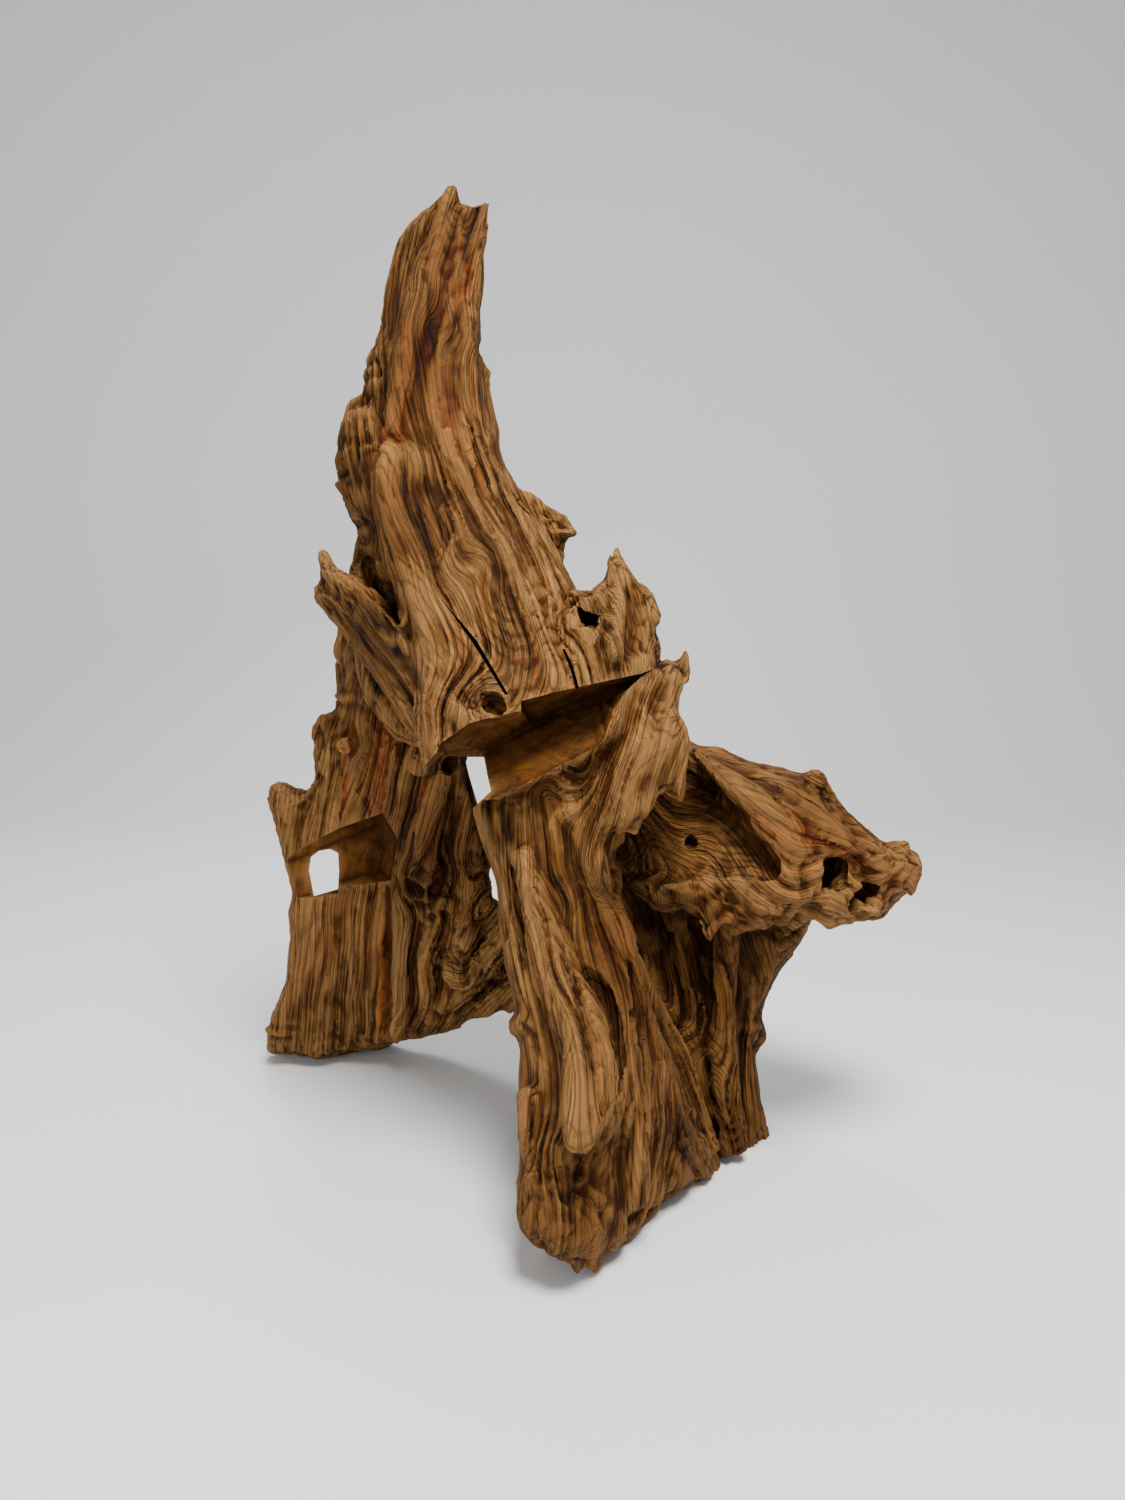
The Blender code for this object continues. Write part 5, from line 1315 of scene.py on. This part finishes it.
# Damp stains and painted shade, by place.
store(root, "stain_and_shade", near_to(points, STAINS_AND_SHADE))
store(root, "red", streaked(points, REDDENED))
print("hollow by", hollow.mean().round(2), "on average")

# %% [markdown]
# ## Into place
#
# The root is moved so that its middle stands over the origin, and it is kept inside the box of the
# plain model, so that what is seen is where the solid one is.

# %% Into place
SHARP_DEGREES = 50  # a crease is drawn sharp where its faces meet at more than this

low, high = (np.array(corner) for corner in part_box("root"))
points = points - np.array(OFFSET)
outside = np.maximum(low - points, points - high).max()
set_points(root, np.clip(points, low, high))
root.data.shade_smooth()
root.data.set_sharp_from_angle(angle=radians(SHARP_DEGREES))
print("the point furthest outside the box was moved by", round(float(outside), 4), "m")

# %% [markdown]
# ## Small helpers for node trees
#
# A node tree is easier to read as a list of short lines. `node` adds a node and links or sets its
# inputs. `sums`, `between`, `ramp` and `mixed` do so for the four kinds that are used most, and
# `group` opens a node group, which several materials can share.

# %% Node helpers
def node(tree, kind, links=None, **settings):
    """A new node. An input takes a value, or a link where the value is another node's output."""
    made = tree.nodes.new(kind)
    for name, value in settings.items():
        setattr(made, name, value)
    for name, value in (links or {}).items():
        socket = made.inputs[name]
        if isinstance(value, bpy.types.NodeSocket):
            tree.links.new(value, socket)
        else:
            socket.default_value = value
    return made


def sums(tree, operation, a, b=0.0):
    return node(tree, "ShaderNodeMath", {0: a, 1: b}, operation=operation).outputs[0]


def between(tree, value, low, high, start=0.0, end=1.0, kind="LINEAR"):
    """start where the value is low or less, end where it is high or more, and even in between."""
    places = {"Value": value, "From Min": low, "From Max": high, "To Min": start, "To Max": end}
    return node(tree, "ShaderNodeMapRange", places, clamp=True, interpolation_type=kind).outputs[0]


def ramp(tree, factor, stops):
    """A colour ramp through stops (place, value or colour)."""
    made = node(tree, "ShaderNodeValToRGB", {"Fac": factor})
    band = made.color_ramp
    while len(band.elements) < len(stops):
        band.elements.new(1.0)
    for element, (place, value) in zip(band.elements, stops):
        element.position = place
        element.color = (*value, 1) if isinstance(value, tuple) else (value, value, value, 1)
    return made.outputs["Color"]


def mixed(tree, share, a, b, blend="MIX"):
    """Colour a with this share of colour b."""
    a, b = ((*value, 1) if isinstance(value, tuple) else value for value in (a, b))
    return node(tree, "ShaderNodeMix", {0: share, 6: a, 7: b}, data_type="RGBA", blend_type=blend).outputs[2]


def group(name, inputs, outputs):
    """A node group with these sockets (label, kind, value), and its input node."""
    tree = bpy.data.node_groups.new(name, "ShaderNodeTree")
    for direction, sockets in (("INPUT", inputs), ("OUTPUT", outputs)):
        for label, kind, value in sockets:
            made = tree.interface.new_socket(label, in_out=direction, socket_type=kind)
            if value is not None:
                made.default_value = value
    return tree, tree.nodes.new("NodeGroupInput").outputs


VECTOR, FLOAT, COLOUR = "NodeSocketVector", "NodeSocketFloat", "NodeSocketColor"
print("node helpers are ready")

# %% [markdown]
# ## Fibres
#
# The first group draws fibres. The grain coordinates are squeezed along the limb, so an ordinary
# noise texture comes out as long threads. What faces forward is lined by its place across the limb
# and what faces aside by its place in depth, so that a thread never breaks where the wood swells.
# Four things come out: wide streaks that tint the wood, fine threads, dark lines and deep checks.

# %% The fibre group
fibres, given = group(
    "wood_fibres",
    [("Grain", VECTOR, None), ("Front", FLOAT, 1.0)],
    [("Streak", FLOAT, None), ("Thread", FLOAT, None), ("Line", FLOAT, None), ("Check", FLOAT, None)])
parts = node(fibres, "ShaderNodeSeparateXYZ", {0: given["Grain"]}).outputs


def threads_of(width, length, seed, detail=2.0):
    """Noise in threads of this width and length along the grain."""
    sides = []
    for lane in ("Y", "X"):
        place = node(fibres, "ShaderNodeCombineXYZ", {
            "X": sums(fibres, "DIVIDE", parts[lane], width),
            "Y": sums(fibres, "ADD", sums(fibres, "DIVIDE", parts["Z"], length), seed)})
        made = node(fibres, "ShaderNodeTexNoise", {"Vector": place.outputs[0], "Scale": 1.0,
                    "Detail": detail, "Roughness": 0.55}, noise_dimensions="2D")
        sides.append(made.outputs["Fac"])
    return node(fibres, "ShaderNodeMix", {0: given["Front"], 2: sides[0], 3: sides[1]}).outputs[0]


def thin(value, inner, outer):
    """1 on the thin lines where the value crosses one half."""
    gap = sums(fibres, "ABSOLUTE", sums(fibres, "SUBTRACT", value, 0.5))
    return between(fibres, gap, inner, outer, 1.0, 0.0)


lined = between(fibres, threads_of(0.03, 0.25, 5.0), 0.42, 0.62, 0.15, 1.0)
checked = between(fibres, threads_of(0.04, 0.14, 29.0), 0.47, 0.57)
node(fibres, "NodeGroupOutput", {
    "Streak": threads_of(0.016, 0.6, 0.0, 4.0),
    "Thread": threads_of(0.0034, 0.18, 53.0, 4.0),
    "Line": sums(fibres, "MULTIPLY", thin(threads_of(0.0075, 0.35, 17.0, 1.5), 0.008, 0.05), lined),
    "Check": sums(fibres, "MULTIPLY", thin(threads_of(0.022, 0.6, 41.0), 0.004, 0.022), checked)})
print("fibre group:", len(fibres.nodes), "nodes")

# %% [markdown]
# ## Rings
#
# Each year of growth ends in a band of dense dark wood. The ring value counts metres from the
# heart, so its remainder by the ring step says where in the year a spot lies. The line is drawn
# thin, and it fades in and out with a slow noise so that no two stretches look the same.

# %% The ring group
RING_WOBBLE = 0.004
rings, given = group(
    "year_rings",
    [("Ring", FLOAT, 0.0), ("Grain", VECTOR, None), ("Step", FLOAT, RING_STEP)],
    [("Line", FLOAT, None), ("Rise", FLOAT, None)])
wobble = node(rings, "ShaderNodeTexNoise", {"Vector": given["Grain"], "Scale": 45.0, "Detail": 2.0})
moved = sums(rings, "ADD", given["Ring"], sums(rings, "MULTIPLY", wobble.outputs["Fac"], RING_WOBBLE))
turn = sums(rings, "FRACT", sums(rings, "DIVIDE", moved, given["Step"]))
from_middle = sums(rings, "ABSOLUTE", sums(rings, "SUBTRACT", turn, 0.5))
line = between(rings, from_middle, 0.06, 0.24, 1.0, 0.0, "SMOOTHSTEP")
patch = node(rings, "ShaderNodeTexNoise", {"Vector": given["Grain"], "Scale": 14.0, "Detail": 2.0})
strength = between(rings, patch.outputs["Fac"], 0.35, 0.6, 0.25, 1.0)
node(rings, "NodeGroupOutput", {"Line": sums(rings, "MULTIPLY", line, strength),
                                "Rise": sums(rings, "SUBTRACT", 1.0, line)})
print("ring group:", len(rings.nodes), "nodes")

# %% [markdown]
# ## Age and painted shade
#
# Valleys are darkened, partly as dirt and partly as painted shade, and edges are bleached. Damp stains
# and painted shade darken some places, and a little dust settles on what faces up. Both woods take this from
# one group, so they age alike.

# %% The age group, with painted shade
# The first colour darkens the hollows, as dirt and as painted shade; the second darkens the listed places,
# as damp stains and as painted shade.
GRIME_AND_SHADE, STAIN_AND_SHADE = (0.25, 0.14, 0.07), (0.42, 0.33, 0.18)  # both darken by multiplying
BLEACHED, DUST = (0.42, 0.22, 0.08), (0.26, 0.17, 0.09)
age, given = group(
    "age_and_dust",
    [("Colour", COLOUR, None), ("Hollow", FLOAT, 0.0), ("Worn", FLOAT, 0.0), ("Stain_and_shade", FLOAT, 0.0)],
    [("Colour", COLOUR, None)])
# Hollows are darkened by multiplying: partly dirt, partly painted shade where less light reaches.
grime_and_shade = between(age, given["Hollow"], 0.08, 0.8, 0.0, 0.66)
colour = mixed(age, grime_and_shade, given["Colour"], GRIME_AND_SHADE, "MULTIPLY")
colour = mixed(age, sums(age, "MULTIPLY", given["Worn"], 0.32), colour, BLEACHED)
# Listed places are darkened by multiplying: partly damp stains, partly painted shade where other parts hang
# over them.
colour = mixed(age, sums(age, "MULTIPLY", given["Stain_and_shade"], 0.85), colour, STAIN_AND_SHADE, "MULTIPLY")
facing = node(age, "ShaderNodeSeparateXYZ", {0: node(age, "ShaderNodeNewGeometry").outputs["Normal"]})
speck = node(age, "ShaderNodeTexNoise", {"Vector": node(age, "ShaderNodeTexCoord").outputs["Object"],
             "Scale": 60.0, "Detail": 4.0})
upward = sums(age, "MULTIPLY", facing.outputs["Z"], speck.outputs["Fac"])
colour = mixed(age, between(age, upward, 0.35, 0.75, 0.0, 0.1), colour, DUST)
node(age, "NodeGroupOutput", {"Colour": colour})
print("age group:", len(age.nodes), "nodes")

# %% [markdown]
# ## A wood's material
#
# Both woods are put together in the same steps, so two functions do what they share. `started`
# opens a material with the fibres and the rings. `finished` ages the colour, paints shade into the
# hollows and the stained places, and plugs colour, roughness and bump into the material's own shader.
# Old dry wood hardly shines, so the specular level is low on both.

# %% The steps that both woods share
SHINE = 0.08
BUMP_DEPTH = 0.0035


def attribute(tree, name):
    """The value that the mesh stores under this name. For the grain it is a vector."""
    made = node(tree, "ShaderNodeAttribute", attribute_type="GEOMETRY", attribute_name=name)
    return made.outputs["Vector" if name == "grain" else "Fac"]


def started(material):
    """The material's node tree, its grain coordinates, and the outputs of fibres and rings."""
    material.use_nodes = True
    tree = material.node_tree
    grain_place = attribute(tree, "grain")
    threads = node(tree, "ShaderNodeGroup", {"Grain": grain_place, "Front": attribute(tree, "front")},
                   node_tree=fibres)
    years = node(tree, "ShaderNodeGroup", {"Ring": attribute(tree, "ring"), "Grain": grain_place},
                 node_tree=rings)
    return tree, grain_place, threads.outputs, years.outputs


def finished(tree, colour, roughness, height):
    """Ages the colour, with painted shade in hollows and stained places, and plugs all three into the
    shader.
    """
    shader = tree.nodes["Principled BSDF"]
    aged = node(tree, "ShaderNodeGroup", {
        "Colour": colour, "Hollow": attribute(tree, "hollow"), "Worn": attribute(tree, "worn"),
        "Stain_and_shade": attribute(tree, "stain_and_shade")}, node_tree=age)
    bump = node(tree, "ShaderNodeBump", {"Height": height, "Distance": BUMP_DEPTH, "Strength": 1.0})
    tree.links.new(aged.outputs["Colour"], shader.inputs["Base Color"])
    tree.links.new(roughness, shader.inputs["Roughness"])
    tree.links.new(bump.outputs[0], shader.inputs["Normal"])
    shader.inputs["Specular IOR Level"].default_value = SHINE


print("both woods start with fibres and rings, and end with age")

# %% [markdown]
# ## Weathered wood
#
# The bark is long gone and the wood has turned mid brown. Streaks vary it from dark to ochre,
# patches are reddish, and dark lines mark rings and checks. The same values raise the bump, so a
# dark line is also a groove that catches no light.

# %% Weathered wood
UMBER, BROWN = (0.088, 0.035, 0.0058), (0.11, 0.045, 0.0085)
TAN, OCHRE = (0.134, 0.057, 0.0125), (0.2, 0.092, 0.024)
RUSSET, HEARTWOOD, SMOKED = (0.14, 0.032, 0.005), (0.19, 0.04, 0.007), (0.055, 0.022, 0.004)
LATE_WOOD, GROOVE, CHECK = (0.03, 0.009, 0.0013), (0.02, 0.006, 0.001), (0.006, 0.002, 0.001)

tree, grain_place, threads, years = started(weathered_wood)
colour = ramp(tree, threads["Streak"], [(0.28, UMBER), (0.42, BROWN), (0.54, TAN), (0.7, OCHRE)])
drawn_out = node(tree, "ShaderNodeVectorMath", {0: grain_place, 1: (1.0, 1.0, 0.22)}, operation="MULTIPLY")
zone = node(tree, "ShaderNodeTexNoise", {"Vector": drawn_out.outputs[0], "Scale": 16.0, "Detail": 4.0,
            "Distortion": 0.3}).outputs["Fac"]
colour = mixed(tree, between(tree, zone, 0.54, 0.68, 0.0, 0.6), colour, RUSSET)
colour = mixed(tree, sums(tree, "MULTIPLY", attribute(tree, "red"), 0.75), colour, HEARTWOOD)
colour = mixed(tree, between(tree, zone, 0.3, 0.4, 0.3, 0.0), colour, SMOKED)
shade = ramp(tree, threads["Thread"], [(0.34, 0.28), (0.44, 0.78), (0.54, 1.06), (0.68, 1.6)])
colour = mixed(tree, 1.0, colour, shade, "MULTIPLY")
for mark, share, dark in ((years["Line"], 0.68, LATE_WOOD), (threads["Line"], 0.82, GROOVE),
                          (threads["Check"], 0.9, CHECK)):
    colour = mixed(tree, sums(tree, "MULTIPLY", mark, share), colour, dark)
height = sums(tree, "MULTIPLY", threads["Thread"], 0.7)
height = sums(tree, "ADD", height, sums(tree, "MULTIPLY", years["Rise"], 0.35))
height = sums(tree, "SUBTRACT", height, sums(tree, "MULTIPLY", threads["Line"], 0.6))
height = sums(tree, "SUBTRACT", height, threads["Check"])
finished(tree, colour, between(tree, threads["Streak"], 0.3, 0.7, 0.8, 0.6), height)
print("weathered wood:", len(tree.nodes), "nodes")

# %% [markdown]
# ## Sawn wood
#
# The sawn faces are years old too. They are flat, but damp and rot have pitted them, so a mottled
# noise shades them and roughens the bump. They use the same groups with calmer colours.

# %% Sawn wood
DEEP_SAWN, SAWN, LIGHT_SAWN = (0.07, 0.024, 0.0035), (0.105, 0.038, 0.0058), (0.15, 0.058, 0.01)
SAWN_RING = (0.03, 0.01, 0.002)

tree, grain_place, threads, years = started(sawn_wood)
colour = ramp(tree, threads["Streak"], [(0.3, DEEP_SAWN), (0.5, SAWN), (0.7, LIGHT_SAWN)])
colour = mixed(tree, sums(tree, "MULTIPLY", years["Line"], 0.3), colour, SAWN_RING)
place = node(tree, "ShaderNodeTexCoord").outputs["Object"]
mottle = node(tree, "ShaderNodeTexNoise", {"Vector": place, "Scale": 34.0, "Detail": 7.0,
              "Roughness": 0.62}).outputs["Fac"]
colour = mixed(tree, 1.0, colour, ramp(tree, mottle, [(0.34, 0.35), (0.5, 0.95), (0.68, 1.4)]), "MULTIPLY")
height = sums(tree, "ADD", sums(tree, "MULTIPLY", mottle, 2.0),
              sums(tree, "MULTIPLY", threads["Thread"], 0.4))
finished(tree, colour, between(tree, mottle, 0.3, 0.7, 0.85, 0.65), height)
print("sawn wood:", len(tree.nodes), "nodes")

# %% [markdown]
# ## Floor
#
# The floor is plain and pale, and it curves up behind the root so that no line cuts the picture.
# One profile from front to back is drawn as points and swept sideways by a single row of faces.

# %% Floor
FLOOR_FRONT, FLOOR_BACK, FLOOR_SIDE = -4.0, 2.2, 5.0
BEND_RADIUS, WALL_TOP = 1.2, 5.0

profile = [(FLOOR_FRONT, 0.0), (FLOOR_BACK, 0.0)]
profile += [(FLOOR_BACK + BEND_RADIUS * sin(a), BEND_RADIUS - BEND_RADIUS * cos(a))
            for a in np.linspace(0.1, pi / 2, 14)]
profile += [(FLOOR_BACK + BEND_RADIUS, WALL_TOP)]
shape = bmesh.new()
rows = [[shape.verts.new((x, y, z)) for x in (-FLOOR_SIDE, FLOOR_SIDE)] for y, z in profile]
for near, far in zip(rows, rows[1:]):
    shape.faces.new((near[0], near[1], far[1], far[0]))
mesh = bpy.data.meshes.new("floor")
shape.to_mesh(mesh)
shape.free()
mesh.shade_smooth()
floor = link("floor", mesh, bpy.context.scene.collection)
paint = bpy.data.materials.new("pale_floor")
paint.use_nodes = True
paint_sockets = paint.node_tree.nodes["Principled BSDF"].inputs
paint_sockets["Base Color"].default_value = (0.79, 0.8, 0.81, 1)
paint_sockets["Roughness"].default_value = 0.75
mesh.materials.append(paint)
print("floor with", len(mesh.polygons), "faces")

# %% [markdown]
# ## Light and camera
#
# One large soft light hangs above and in front, a weak one fills the left, a third rims the back,
# and the world gives the rest. The camera stands where the photograph was taken from.

# %% Light
def softbox(name, place, target, size, power, colour):
    """A round soft light of this size and power, turned to the target."""
    light = bpy.data.lights.new(name, "AREA")
    light.shape, light.size, light.energy, light.color = "DISK", size, power, colour
    obj = link(name, light, bpy.context.scene.collection)
    obj.location = place
    obj.rotation_euler = (Vector(target) - Vector(place)).to_track_quat("-Z", "Y").to_euler()


WARM, COOL, SKY = (1.0, 0.98, 0.95), (0.97, 0.98, 1.0), (0.88, 0.87, 0.84, 1)
softbox("key", (0.4, -1.2, 2.8), (0, -0.1, 0.6), 1.1, 155, WARM)
softbox("fill", (-1.5, -2.3, 1.0), (0, 0, 0.5), 1.4, 26, COOL)
softbox("rim", (-0.8, 2.2, 2.4), (0, 0, 0.8), 1.0, 40, COOL)
world = bpy.data.worlds.new("studio")
bpy.context.scene.world = world
world.use_nodes = True
background = world.node_tree.nodes["Background"].inputs
background["Color"].default_value = SKY
background["Strength"].default_value = 0.55
print("three soft lights and a pale sky")

# %% Camera
camera = bpy.data.cameras.new("camera")
camera.lens = FOCAL_PIXELS / PHOTO_HEIGHT * camera.sensor_width
camera_object = link("camera", camera, bpy.context.scene.collection)
camera_object.location = Vector(EYE) - Vector(OFFSET)
camera_object.rotation_euler = (pi / 2 - EYE_DIP, 0, 0)
bpy.context.scene.camera = camera_object
print("camera lens", round(camera.lens, 2), "mm")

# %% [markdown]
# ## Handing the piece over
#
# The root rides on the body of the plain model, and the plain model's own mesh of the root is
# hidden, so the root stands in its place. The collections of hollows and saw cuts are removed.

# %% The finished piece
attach(root, "root")
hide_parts("root")
for collection in (hollows, saw_cuts):
    bpy.data.collections.remove(collection)
